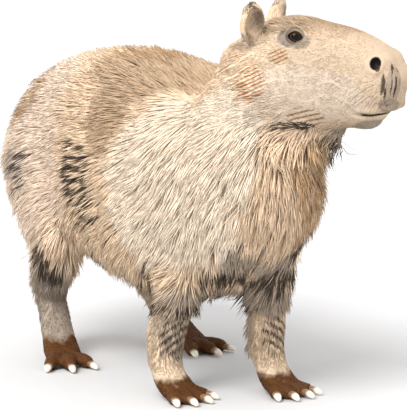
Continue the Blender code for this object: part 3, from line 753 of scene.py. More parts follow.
class Zone(Enum):
    """The areas of the coat, each with its kind of tuft."""

    BACK = Tuft(0.058, 0.0027, 0.0010, 0.0125, 1.00, (-1.00, 0.0, -0.22), 50e3, 0.55)
    NECK = Tuft(0.050, 0.0026, 0.0010, 0.0115, 1.00, (-0.80, 0.0, -0.60), 52e3, 0.55)
    RUMP = Tuft(0.062, 0.0027, 0.0010, 0.0165, 0.95, (-0.45, 0.0, -1.00), 50e3, 0.60)
    RUFF = Tuft(0.074, 0.0028, 0.0010, 0.0300, 0.75, (0.35, 0.15, -1.00), 50e3, 0.88)
    BEARD = Tuft(0.058, 0.0028, 0.0010, 0.0280, 0.70, (-0.10, 0.0, -1.00), 60e3, 0.90, True)
    CHEST = Tuft(0.056, 0.0027, 0.0010, 0.0105, 1.00, (-0.10, 0.0, -1.00), 50e3, 0.75)
    FRINGE = Tuft(0.064, 0.0028, 0.0010, 0.0220, 0.55, (-0.45, 0.0, -0.90), 46e3, 0.80)
    FEATHER = Tuft(0.042, 0.0024, 0.0009, 0.0150, 0.75, (-0.45, 0.0, -0.90), 70e3, 0.80)
    SHIN = Tuft(0.036, 0.0024, 0.0009, 0.0095, 0.90, (0.10, 0.0, -1.00), 70e3, 0.65)
    LEG = Tuft(0.018, 0.0016, 0.0006, 0.0022, 1.00, (-0.12, 0.0, -1.00), 120e3, 0.30)
    FOOT = Tuft(0.009, 0.0013, 0.0005, 0.0010, 1.00, (0.50, 0.0, -1.00), 150e3, 0.15)
    FACE = Tuft(0.010, 0.0010, 0.0004, 0.0012, 1.00, (-1.00, 0.0, -0.12), 230e3, 0.15, True)
    MUZZLE = Tuft(0.0065, 0.0009, 0.0004, 0.0010, 1.00, (-1.00, 0.0, -0.35), 230e3, 0.10, True)
    CROWN = Tuft(0.026, 0.0016, 0.0006, 0.0070, 1.00, (-1.00, 0.0, 0.10), 120e3, 0.50, True)
    CHEEK = Tuft(0.026, 0.0017, 0.0006, 0.0045, 1.00, (-1.00, 0.0, -0.45), 120e3, 0.45, True)
    EAR = Tuft(0.008, 0.0011, 0.0004, 0.0022, 1.00, (-0.20, 0.0, 1.00), 160e3, 0.20, True)
    RIM = Tuft(0.014, 0.0014, 0.0005, 0.0060, 0.70, (-0.20, 0.0, 1.00), 260e3, 0.60, True)


ZONES = tuple(Zone)


class Area(Enum):
    """The pieces that the coat is made in, by the zones they cover."""

    BODY = (Zone.BACK, Zone.NECK, Zone.RUMP)
    FRONT = (Zone.RUFF, Zone.BEARD, Zone.CHEST, Zone.FRINGE)
    LEGS = (Zone.FEATHER, Zone.SHIN, Zone.LEG)
    FEET = (Zone.FOOT,)
    HEAD = (Zone.FACE, Zone.MUZZLE, Zone.CROWN, Zone.CHEEK)
    EARS = (Zone.EAR, Zone.RIM)


PARAMETERS = ("length", "width", "thickness", "lift", "cling", "density", "clump")


@dataclass
class Coat:
    """The coat: tufts of solid mesh over the whole skin, drawn together into locks."""

    skin: bpy.types.Object
    maker: Skin
    seed: int = 7
    passes: int = 14
    sink: float = 0.0015
    steps: tuple[float, ...] = (0.0, 0.40, 0.74)
    short_steps: tuple[float, ...] = (0.0, 0.52)
    widths: tuple[float, ...] = (0.55, 1.00, 0.70)
    long_from: float = 0.024
    lock_density: float = 2300.0
    patch: float = 0.003
    most_triangles: int = 190_000

    def zones_at(self, points: Array, normals: Array) -> Array:
        """The number of the zone that each point is in.

        Args:
            points: Points of the skin.
            normals: The skin's normals there.

        Returns:
            The index into ZONES for each point.
        """
        x, _, z = points.T
        forward, _, upward = normals.T
        local = HEAD.local(points)
        zone = np.full(len(points), ZONES.index(Zone.BACK))

        def put(kind: Zone, where: Array) -> None:
            """Marks the points that a test picks as one kind."""
            zone[where] = ZONES.index(kind)

        put(Zone.NECK, (x > 0.100) & (z > 0.430))
        put(Zone.RUMP, (x < -0.330) | ((x < -0.200) & (z < 0.300)))
        chest = (x > 0.220) & (forward > 0.25) & (z < 0.500)
        put(Zone.CHEST, chest)
        put(Zone.RUFF, chest & (z > 0.405))
        put(Zone.SHIN, (z < 0.250) & (x > -0.2) & (x < 0.1) & (forward > 0.2))
        put(Zone.FRINGE, (z < 0.260) & (upward < -0.3))
        low = z < 0.185
        put(Zone.LEG, low)
        put(Zone.FEATHER, low & (forward < -0.45) & (z > 0.085))
        put(Zone.SHIN, low & (x < 0) & (forward > 0.6) & (z > 0.13))
        put(Zone.FOOT, z < 0.062)
        head = (local[:, 0] > -0.030) & (z > 0.44) & (local[:, 2] > -0.112)
        put(Zone.FACE, head)
        put(Zone.CHEEK, head & (local[:, 2] < -0.045) & (local[:, 0] < 0.105))
        put(Zone.CHEEK, head & (local[:, 0] < 0.030) & (local[:, 2] < 0.030))
        put(Zone.CROWN, head & (local[:, 2] > 0.050) & (local[:, 0] < 0.120) & (np.abs(local[:, 1]) < 0.050))
        put(Zone.MUZZLE, head & (local[:, 0] > 0.205))
        put(Zone.BEARD, (local[:, 2] < -0.100) & (local[:, 0] > 0.020) & (local[:, 0] < 0.195) & (z > 0.400))
        for side in Side:
            turn = np.array(self.maker.ear.turn(side))[:3, :3]
            away = (local - np.array(self.maker.ear.middle(side))) @ turn / (np.array(self.maker.ear.size) + 0.002)
            away = away / np.linalg.norm(away, axis=1)[:, None] * np.minimum((away**2).sum(1), 9)[:, None]
            near = np.linalg.norm(away, axis=1) < 1.15
            put(Zone.EAR, near)
            put(Zone.RIM, near & (away[:, 0] > -0.05) & (np.hypot(away[:, 1], away[:, 2]) > 0.86) & (away[:, 2] > -0.2))
        return zone

    def spread(self, values: Array, edges: Array) -> Array:
        """Averages values over the neighbours on the skin, pass after pass, so that zones run together."""
        count = len(values)
        degree = np.bincount(edges.ravel(), minlength=count)[:, None] + 1.0
        for _ in range(self.passes):
            total = values.copy()
            for column in range(values.shape[1]):
                own = values[:, column]
                total[:, column] += np.bincount(edges[:, 0], own[edges[:, 1]], count)
                total[:, column] += np.bincount(edges[:, 1], own[edges[:, 0]], count)
            values = total / degree
        return values

    def survey(self) -> None:
        """Reads the skin and works out the coat's settings at each of its points."""
        mesh = self.skin.data
        self.points, self.normals = mesh_arrays(mesh)
        self.faces = triangles_of(mesh)
        self.tree = BVHTree.FromPolygons(self.points.tolist(), self.faces.tolist())
        zone = self.zones_at(self.points, self.normals)
        kinds = [kind.value for kind in ZONES]
        table = np.array([[getattr(kind, name) for name in PARAMETERS] for kind in kinds])
        lies = np.array([HEAD.turned(np.array(k.lie)) if k.in_head else np.array(k.lie) for k in kinds])
        lie = lies[zone]
        for side in Side:
            turn = np.array(self.maker.ear.turn(side))[:3, :3]
            on_side = HEAD.local(self.points)[:, 1] * side.value > 0
            lie[np.isin(zone, (ZONES.index(Zone.EAR), ZONES.index(Zone.RIM))) & on_side] = HEAD.turned(
                turn @ np.array((0, 0, 1.0))
            )
        edges = np.sort(self.faces[:, [0, 1, 1, 2, 2, 0]].reshape(-1, 2), axis=1)
        edges = np.unique(edges, axis=0)
        self.settings = self.spread(np.hstack([lie, table[zone]]), edges)
        self.zone = zone

    def roots(self, rng: np.random.Generator) -> tuple[Array, Array]:
        """Picks the roots of the tufts over the skin.

        Args:
            rng: The seeded source of chance.

        Returns:
            The face that each root is on, and its three shares of the face's corners.
        """
        corners = self.points[self.faces]
        area = np.linalg.norm(np.cross(corners[:, 1] - corners[:, 0], corners[:, 2] - corners[:, 0]), axis=1) / 2
        density = self.settings[self.faces, 3 + PARAMETERS.index("density")].mean(1)
        centre = corners.mean(1)
        local = HEAD.local(centre)
        for side in Side:
            away = np.linalg.norm(local - np.array(EYE.middle(side)), axis=1)
            x, y, z = self.maker.nostril
            nose = (local - np.array((x, side.value * y, z))) / (0.0125, 0.02, 0.0150)
            bare = (away < EYE.radius + 0.0035) | (np.linalg.norm(nose, axis=1) < 1)
            density = np.where(bare, 0, density)
        mouth_x, mouth_z = np.array(self.maker.mouth).T
        lips = np.abs(local[:, 2] - np.interp(local[:, 0], mouth_x, mouth_z)) < 0.0030
        lips &= (local[:, 0] > 0.205) & (centre[:, 2] > 0.45)
        density = np.where(lips | (centre[:, 2] < SOLE_CUT + 0.004), 0, density)
        expected = area * density
        count = np.floor(expected + rng.random(len(expected))).astype(int)
        face = np.repeat(np.arange(len(count)), count)
        share = rng.random((len(face), 2))
        over = share.sum(1) > 1
        share[over] = 1 - share[over]
        return face, np.column_stack([1 - share.sum(1), share])

    def at_roots(self, face: Array, share: Array, values: Array) -> Array:
        """Values given at the skin's points, read at the roots."""
        return (values[self.faces[face]] * share[:, :, None]).sum(1)

    def follow(self, straight: Array, cling: Array, normals: Array) -> tuple[Array, Array]:
        """Brings points to the body.

        Args:
            straight: Points on straight lines from the roots.
            cling: How closely each keeps to the body.
            normals: The normals at the roots.

        Returns:
            The points and the ways out there.
        """
        placed = np.empty_like(straight)
        out = np.empty_like(straight)
        for i, point in enumerate(straight.tolist()):
            spot, normal, _, _ = self.tree.find_nearest(point)
            placed[i] = spot
            out[i] = normal
        cling = cling[:, None]
        placed = straight + (placed - straight) * cling
        out = normals + (out - normals) * cling
        return placed, out / np.linalg.norm(out, axis=1)[:, None]

    def locks(self, rng: np.random.Generator, root: Array) -> tuple[Array, Array]:
        """Gathers the tufts into locks.

        Args:
            rng: The seeded source of chance.
            root: The tufts' roots.

        Returns:
            For each tuft, the number of its lock and the root of the tuft in the lock's middle.
        """
        cell = 1 / math.sqrt(self.lock_density)
        jitter = 0.35 * cell * np.sin(root[:, [1, 2, 0]] * 140 + np.array((0.3, 1.7, 4.1)))
        keys = np.floor((root + jitter) / cell).astype(np.int64)
        _, lock = np.unique(keys @ np.array((73856093, 19349663, 83492791)), return_inverse=True)
        lock = lock.reshape(-1)
        size = np.bincount(lock)[:, None]
        middle = np.column_stack([np.bincount(lock, root[:, i]) for i in range(3)]) / size
        return lock, middle[lock]

    def grow(self) -> dict[str, Array]:
        """Works out every tuft.

        Returns:
            The tufts' rings, tips, roots, zones and chances, and the sites that their markings are read at.
        """
        rng = np.random.default_rng(self.seed)
        self.survey()
        face, share = self.roots(rng)
        root = self.at_roots(face, share, self.points)
        normal = self.at_roots(face, share, self.normals)
        normal /= np.linalg.norm(normal, axis=1)[:, None]
        settings = self.at_roots(face, share, self.settings)
        lie = settings[:, :3]
        length, width, thickness, lift, cling, _, clump = settings[:, 3:].T
        zone = self.zone[self.faces[face, 0]]
        lock, middle = self.locks(rng, root)
        chance = rng.uniform(-1, 1, (len(root), 5))
        lock_chance = rng.uniform(-1, 1, (lock.max() + 1, 4))[lock]
        length = length * (1 + 0.22 * chance[:, 0] + 0.14 * lock_chance[:, 0])
        width = width * (1 + 0.25 * chance[:, 1])
        lift = lift * (1 + 0.30 * chance[:, 2] + 0.28 * lock_chance[:, 1])
        lie = lie - normal * (lie * normal).sum(1)[:, None]
        weak = np.linalg.norm(lie, axis=1) < 0.22
        lie[weak] = np.array((-1.0, 0.0, 0.0)) + normal[weak] * normal[weak, :1]
        lift = np.where(weak, lift * 0.3, lift)
        lie /= np.linalg.norm(lie, axis=1)[:, None]
        across = np.cross(normal, lie)
        waves = np.sin(root @ np.array((31.0, 23.0, 17.0)) + 1.3) + np.sin(root @ np.array((-19.0, 29.0, 37.0)))
        turn = 0.10 * chance[:, 3] + 0.16 * lock_chance[:, 2] + 0.07 * waves
        lie = lie + across * turn[:, None]
        lie /= np.linalg.norm(lie, axis=1)[:, None]
        offset = root - middle
        offset = across * (offset * across).sum(1)[:, None] * clump[:, None]
        long = length > self.long_from
        LOG.info("%d tufts, of which %d long", len(root), int(long.sum()))
        groups = {}
        for name, where, steps in (("long", long, self.steps), ("short", ~long, self.short_steps)):
            spread, shared = (0.5, 0.45) if name == "long" else (0.35, 0.10)
            lines, sides = [], []
            for step in (*steps, 1.0):
                straight = root[where] + lie[where] * (length[where] * step)[:, None]
                placed, out = self.follow(straight, cling[where], normal[where])
                rise = lift[where] * step**1.15 - self.sink * (1 - step)
                placed = placed + out * rise[:, None] - offset[where] * step**1.3
                placed[:, 2] = np.maximum(placed[:, 2], SOLE_CUT + 2 * GAP + thickness[where])
                lines.append(placed)
                sides.append((np.cross(lie[where], out), out))
            rings = []
            for k, _ in enumerate(steps):
                across_k, out = sides[k]
                across_k = across_k / np.linalg.norm(across_k, axis=1)[:, None]
                side = across_k * (width[where] * self.widths[k] / 2)[:, None]
                low = out * (-0.35 * thickness[where])[:, None]
                high = out * (0.65 * thickness[where])[:, None]
                rings.append(np.stack([lines[k] + side + low, lines[k] + high, lines[k] - side + low], axis=1))
            groups[name] = {
                "rings": np.stack(rings, axis=1),
                "tips": lines[-1],
                "root": root[where],
                "site": lines[1],
                "zone": zone[where],
                "tint": 0.5 + spread * (0.55 * chance[where, 4] + shared * lock_chance[where, 3]),
                "chance": 0.5 + 0.5 * (0.75 * chance[where, 2] + 0.25 * lock_chance[where, 1]),
                "steps": np.array((*steps, 1.0)),
            }
        return groups


    def pattern(self, rings: int) -> Array:
        """The triangles of one closed tuft of this many rings, as rows of its vertices' numbers."""
        tip = rings * 3
        faces = [(0, 1, 2)]
        for k in range(0, tip - 3, 3):
            for i in range(3):
                j = (i + 1) % 3
                faces += [(k + i, k + i + 3, k + j + 3), (k + i, k + j + 3, k + j)]
        faces += [(tip - 3 + i, tip, tip - 3 + (i + 1) % 3) for i in range(3)]
        return np.array(faces)

    def mesh(self, name: str, group: dict[str, Array], pick: Array) -> bpy.types.Object:
        """Makes one piece of the coat.

        Args:
            name: The piece's name.
            group: The tufts that it is picked from.
            pick: The numbers of the tufts.

        Returns:
            The piece.
        """
        rings = group["rings"][pick]
        count, steps = rings.shape[:2]
        size = steps * 3 + 1
        verts = np.concatenate([rings.reshape(count, -1, 3), group["tips"][pick][:, None]], axis=1)
        pattern = self.pattern(steps)
        faces = (pattern[None] + (np.arange(count) * size)[:, None, None]).ravel()
        mesh = bpy.data.meshes.new(name)
        mesh.vertices.add(count * size)
        mesh.vertices.foreach_set("co", verts.ravel())
        mesh.loops.add(len(faces))
        mesh.loops.foreach_set("vertex_index", faces.astype(np.int32))
        mesh.polygons.add(len(faces) // 3)
        mesh.polygons.foreach_set("loop_start", np.arange(0, len(faces), 3, dtype=np.int32))
        mesh.update(calc_edges=True)
        mesh.shade_smooth()
        along = np.append(np.repeat(group["steps"][:-1], 3), 1.0)
        across = np.append(np.tile((-0.5, 0.0, 0.5), steps), 0.0)
        local = np.column_stack([across, along - 0.5]) * self.patch
        flat = group["flat"][pick][:, None, :] + local[None]
        layer = mesh.uv_layers.new(name="OFBake")
        layer.data.foreach_set("uv", flat.reshape(-1, 2)[faces].ravel())
        own = np.empty((count, size, 3))
        own[:, :, 0] = along
        own[:, :, 1] = group["tint"][pick][:, None]
        own[:, :, 2] = group["chance"][pick][:, None]
        lay_attribute(mesh, "tuft", own)
        lay_attribute(mesh, "site", np.repeat(group["site"][pick], size, axis=0))
        piece = bpy.data.objects.new(name, mesh)
        bpy.context.scene.collection.objects.link(piece)
        return piece

    def pieces(self, groups: dict[str, dict[str, Array]]) -> list[bpy.types.Object]:
        """Makes the coat's pieces, zone by zone, each with fewer than the most triangles.

        Args:
            groups: The long and the short tufts.

        Returns:
            The pieces.
        """
        made = []
        for group in groups.values():
            per_tuft = len(self.pattern(group["rings"].shape[1]))
            for area in Area:
                numbers = [ZONES.index(zone) for zone in area.value]
                pick = np.nonzero(np.isin(group["zone"], numbers))[0]
                if not len(pick):
                    continue
                pick = pick[np.argsort(group["root"][pick, 0])]
                parts = math.ceil(len(pick) * per_tuft / self.most_triangles)
                for i, part in enumerate(np.array_split(pick, parts)):
                    kind = "locks" if per_tuft > 10 else "fur"
                    made.append(self.mesh(f"{kind}_{area.name.lower()}_{i + 1}", group, part))
        return made


@dataclass
class Unwrap:
    """Places on a flat unwrap of the skin's own shape."""

    skin: bpy.types.Object
    triangles: int = 5000

    def __post_init__(self) -> None:
        """Thins a copy of the skin and unwraps it."""
        copy = bpy.data.objects.new("unwrap", self.skin.data.copy())
        bpy.context.scene.collection.objects.link(copy)
        add_modifier(copy, "DECIMATE", ratio=self.triangles / len(copy.data.polygons), use_collapse_triangulate=True)
        bpy.ops.object.select_all(action="DESELECT")
        copy.select_set(True)
        bpy.context.view_layer.objects.active = copy
        bpy.ops.object.mode_set(mode="EDIT")
        bpy.ops.mesh.select_all(action="SELECT")
        bpy.ops.uv.smart_project(angle_limit=math.radians(66), island_margin=0.004)
        bpy.ops.object.mode_set(mode="OBJECT")
        mesh = copy.data
        self.points, _ = mesh_arrays(mesh)
        self.faces = triangles_of(mesh)
        loops = np.empty(len(mesh.loop_triangles) * 3, np.int32)
        mesh.loop_triangles.foreach_get("loops", loops)
        flat = np.empty(len(mesh.loops) * 2)
        mesh.uv_layers.active.data.foreach_get("uv", flat)
        self.flat = flat.reshape(-1, 2)[loops.reshape(-1, 3)]
        self.tree = BVHTree.FromPolygons(self.points.tolist(), self.faces.tolist())
        bpy.data.objects.remove(copy)

    def places(self, points: Array) -> Array:
        """Where points near the skin lie on the unwrap.

        Args:
            points: The points.

        Returns:
            Their flat places.
        """
        spots = np.empty_like(points)
        found = np.empty(len(points), int)
        for i, point in enumerate(points.tolist()):
            spot, _, index, _ = self.tree.find_nearest(point)
            spots[i] = spot
            found[i] = index
        a, b, c = (self.points[self.faces[found, i]] for i in range(3))
        u, v, w = b - a, c - a, spots - a
        uu, uv, vv = (u * u).sum(1), (u * v).sum(1), (v * v).sum(1)
        wu, wv = (w * u).sum(1), (w * v).sum(1)
        scale = np.maximum(uu * vv - uv * uv, 1e-18)
        s, t = (vv * wu - uv * wv) / scale, (uu * wv - uv * wu) / scale
        share = np.clip(np.column_stack([1 - s - t, s, t]), 0, 1)
        share /= share.sum(1)[:, None]
        return (self.flat[found] * share[:, :, None]).sum(1)


@dataclass
class Value:
    """A number's socket in a material, on which sums can be written."""

    nodes: "Nodes"
    socket: bpy.types.NodeSocket

    def _math(self, operation: str, *values: "Value | float") -> "Value":
        """Adds one Math node on these values."""
        return self.nodes.math(operation, *values)

    def __add__(self, other: "Value | float") -> "Value":
        """self + other."""
        return self._math("ADD", self, other)

    def __radd__(self, other: float) -> "Value":
        """other + self."""
        return self._math("ADD", other, self)

    def __sub__(self, other: "Value | float") -> "Value":
        """self - other."""
        return self._math("SUBTRACT", self, other)

    def __rsub__(self, other: float) -> "Value":
        """other - self."""
        return self._math("SUBTRACT", other, self)

    def __mul__(self, other: "Value | float") -> "Value":
        """self * other."""
        return self._math("MULTIPLY", self, other)

    def __rmul__(self, other: float) -> "Value":
        """other * self."""
        return self._math("MULTIPLY", other, self)

    def __truediv__(self, other: "Value | float") -> "Value":
        """self / other."""
        return self._math("DIVIDE", self, other)

    def power(self, other: float) -> "Value":
        """self to a power."""
        return self._math("POWER", self, other)

    def larger(self, other: "Value | float") -> "Value":
        """The larger of self and other."""
        return self._math("MAXIMUM", self, other)

    def smaller(self, other: "Value | float") -> "Value":
        """The smaller of self and other."""
        return self._math("MINIMUM", self, other)

    def over(self, other: "Value | float") -> "Value":
        """1 where self is over other, else 0."""
        return self._math("GREATER_THAN", self, other)

    def size(self) -> "Value":
        """self without its sign."""
        return self._math("ABSOLUTE", self)

    def rise(self, low: float, high: float) -> "Value":
        """A soft step from 0 at low to 1 at high, or the other way round where low is over high."""
        return self.nodes.rise(self, low, high)


Colour = tuple[int, int, int]


def linear(colour: Colour) -> tuple[float, float, float, float]:
    """An sRGB colour of 0 to 255 as a linear colour."""
    shares = [c / 255 for c in colour]
    return (*[s / 12.92 if s <= 0.04045 else ((s + 0.055) / 1.055) ** 2.4 for s in shares], 1.0)


class Nodes:
    """The node tree of one material."""

    def __init__(self, name: str) -> None:
        """Starts a material of this name with its surface shader."""
        self.material = bpy.data.materials.new(name)
        self.material.use_nodes = True
        self.tree = self.material.node_tree
        self.shader = self.tree.nodes["Principled BSDF"]

    def node(self, kind: str, settings: dict | None = None, sockets: dict | None = None) -> bpy.types.Node:
        """Adds any node.

        Args:
            kind: The node's type, without ShaderNode in front.
            settings: Its settings, by name, which are set first.
            sockets: The values or links of its input sockets, by name or number.

        Returns:
            The node.
        """
        node = self.tree.nodes.new("ShaderNode" + kind)
        for name, value in (settings or {}).items():
            setattr(node, name, value)
        for name, value in (sockets or {}).items():
            self.give(node.inputs[name], value)
        return node

    def give(self, socket: bpy.types.NodeSocket, value: object) -> None:
        """Sets a socket's value, or links a socket to it."""
        if isinstance(value, Value):
            value = value.socket
        if isinstance(value, bpy.types.NodeSocket):
            self.tree.links.new(value, socket)
        else:
            socket.default_value = value

    def math(self, operation: str, *values: Value | float) -> Value:
        """Adds a Math node of this operation on these values."""
        node = self.node("Math", {"operation": operation}, dict(enumerate(values)))
        return Value(self, node.outputs[0])

    def vector(self, operation: str, *values: object) -> bpy.types.NodeSocket:
        """Adds a Vector Math node of this operation on these vectors."""
        node = self.node("VectorMath", {"operation": operation}, dict(enumerate(values)))
        return node.outputs["Vector"]

    def length(self, vector: object) -> Value:
        """The length of a vector."""
        node = self.node("VectorMath", {"operation": "LENGTH"}, {0: vector})
        return Value(self, node.outputs["Value"])

    def rise(self, value: Value, low: float, high: float) -> Value:
        """A soft step from 0 at low to 1 at high."""
        sockets = {"Value": value, "From Min": low, "From Max": high}
        node = self.node("MapRange", {"interpolation_type": "SMOOTHSTEP"}, sockets)
        return Value(self, node.outputs["Result"])

    def parts(self, vector: object) -> tuple[Value, Value, Value]:
        """The three numbers of a vector."""
        node = self.node("SeparateXYZ", sockets={0: vector})
        return tuple(Value(self, out) for out in node.outputs)

    def join(self, *values: object) -> bpy.types.NodeSocket:
        """A vector of three numbers."""
        return self.node("CombineXYZ", sockets=dict(enumerate(values))).outputs[0]

    def attribute(self, name: str) -> bpy.types.NodeSocket:
        """The vector that the mesh carries under this name."""
        return self.node("Attribute", {"attribute_name": name}).outputs["Vector"]

    def place(self) -> bpy.types.NodeSocket:
        """The place on the piece."""
        return self.node("TexCoord").outputs["Object"]

    def mapped(self, vector: object, kind: str = "POINT", **values: Sequence[float]) -> bpy.types.NodeSocket:
        """A vector moved, turned and scaled by a Mapping node."""
        sockets = {"Vector": vector} | {name.title(): tuple(value) for name, value in values.items()}
        return self.node("Mapping", {"vector_type": kind}, sockets).outputs[0]

    def noise(self, vector: object, scale: float, detail: float = 2.0, rough: float = 0.5) -> Value:
        """Noise about 0, from about -0.5 to 0.5."""
        sockets = {"Vector": vector, "Scale": scale, "Detail": detail, "Roughness": rough}
        return Value(self, self.node("TexNoise", sockets=sockets).outputs[0]) - 0.5

    def mix(self, share: Value | float, first: object, second: object, blend: str = "MIX") -> bpy.types.NodeSocket:
        """A colour between two, by a share."""
        settings = {"data_type": "RGBA", "blend_type": blend, "clamp_factor": True}
        node = self.node("Mix", settings, {0: share, 6: first, 7: second})
        return node.outputs[2]

    def scaled(self, colour: object, amount: Value) -> bpy.types.NodeSocket:
        """A colour times an amount, as a vector."""
        node = self.node("VectorMath", {"operation": "SCALE"}, {0: colour, "Scale": amount})
        return node.outputs["Vector"]

    def surface(self, **sockets: object) -> None:
        """Sets or links the shader's sockets, given with _ for each space in their names."""
        for name, value in sockets.items():
            self.give(self.shader.inputs[name.replace("_", " ")], value)

    def bump(self, height: Value, strength: float, distance: float) -> None:
        """Gives the surface relief of this height."""
        sockets = {"Height": height, "Strength": strength, "Distance": distance}
        self.surface(Normal=self.node("Bump", sockets=sockets).outputs[0])


@dataclass(frozen=True)
class Patch:
    """One soft-edged patch of a marking: a ball of three radii, on both sides."""

    centre: Triple
    radii: Triple
    amount: float = 1.0


@dataclass(frozen=True)
class Marking:
    """One marking of the coat: its colour, its patches, and how ragged and soft its edges are.

    in_head gives the patches in the head's frame, and one_side keeps them to the side they are given for.
    """

    colour: Colour
    patches: tuple[Patch, ...]
    in_head: bool = False
    one_side: bool = False
    ragged: float = 0.30
    soft: float = 0.14


TAN = (232, 206, 176)
# grey-brown painted shade, laid under the belly and throat and low on the legs
PAINTED_SHADE_GREY = (169, 154, 138)
BROWN = (95, 56, 19)
# near-black: the dark hair of the ear rims, jaw and muzzle, and painted shade in the folds, the groin, the mouth's
# line, the legs and under the chest
INK_AND_SHADE = (46, 34, 28)
STROKE = (168, 132, 92)
RUST = (176, 120, 64)


class Marks(Enum):
    """The coat's markings, from the lowest layer up, among them painted highlight and painted shade."""

    RUMP = Marking(
        (235, 214, 193),
        (Patch((-0.290, 0.140, 0.370), (0.190, 0.160, 0.180)), Patch((-0.220, 0.120, 0.490), (0.100, 0.100, 0.080))),
    )
    SADDLE = Marking(
        (197, 170, 140),
        (Patch((0.060, 0.060, 0.560), (0.155, 0.105, 0.062)), Patch((0.052, 0.140, 0.485), (0.064, 0.070, 0.072))),
    )
    # painted highlight: the pale cream of the flank and shoulder, lighter where the light falls on them
    FLANK = Marking(
        (245, 229, 208),
        (
            Patch((0.208, 0.150, 0.370), (0.118, 0.110, 0.140)),
            Patch((0.235, 0.110, 0.470), (0.085, 0.080, 0.060)),
            Patch((0.290, 0.090, 0.340), (0.085, 0.065, 0.085)),
            Patch((0.335, 0.075, 0.455), (0.075, 0.060, 0.105)),
        ),
    )
    CROWN = Marking(
        (216, 187, 156),
        (Patch((0.120, 0.000, 0.078), (0.130, 0.075, 0.024)),),
        in_head=True,
        soft=0.40,
    )
    CHEEK = Marking(
        (236, 215, 192),
        (Patch((0.120, 0.060, -0.045), (0.110, 0.050, 0.050)),),
        in_head=True,
    )
    # painted shade: grey under the belly and chest and low on the legs and thigh
    BELLY = Marking(
        PAINTED_SHADE_GREY,
        (
            Patch((0.130, 0.000, 0.186), (0.260, 0.130, 0.035), 0.9),
            Patch((0.345, 0.050, 0.255), (0.060, 0.050, 0.040), 0.9),
            Patch((-0.200, 0.150, 0.120), (0.085, 0.060, 0.085), 0.95),
            Patch((-0.285, 0.180, 0.370), (0.050, 0.060, 0.030), 0.6),
            Patch((0.190, 0.080, 0.140), (0.050, 0.050, 0.075), 0.6),
        ),
    )
    # painted shade: grey under the throat, the jaw and the chin
    THROAT = Marking(
        PAINTED_SHADE_GREY,
        (
            Patch((0.095, 0.000, -0.150), (0.100, 0.060, 0.040), 0.70),
            Patch((0.160, 0.000, -0.125), (0.045, 0.050, 0.035), 0.85),
            Patch((0.225, 0.000, -0.086), (0.030, 0.042, 0.015), 0.85),
        ),
        in_head=True,
    )
    # painted shade: darker in the ears' cups and below the ears
    EARS = Marking(
        (150, 130, 112),
        (Patch((0.034, 0.076, 0.058), (0.018, 0.022, 0.029), 0.9), Patch((0.000, 0.070, 0.030), (0.030, 0.030, 0.018), 0.7)),
        in_head=True,
        ragged=0.12,
    )
    # painted shade: grey in the hollows round the eyes
    SOCKET = Marking(
        (160, 146, 132),
        (Patch((0.086, 0.062, 0.046), (0.020, 0.030, 0.015), 0.9), Patch((0.108, 0.062, 0.041), (0.013, 0.030, 0.012), 0.7)),
        in_head=True,
        ragged=0.10,
    )
    # painted shade: near-black on the far hind foot and leg, on that side only
    FAR = Marking(
        (34, 26, 22),
        (Patch((-0.190, 0.120, 0.070), (0.090, 0.050, 0.050)), Patch((-0.150, 0.120, 0.120), (0.070, 0.050, 0.045))),
        one_side=True,
    )
    NOSE = Marking(
        (150, 132, 116),
        (
            Patch((0.262, 0.042, -0.014), (0.012, 0.018, 0.036), 0.55),
            Patch((0.256, 0.034, -0.046), (0.016, 0.034, 0.013), 0.75),
        ),
        in_head=True,
        ragged=0.20,
    )


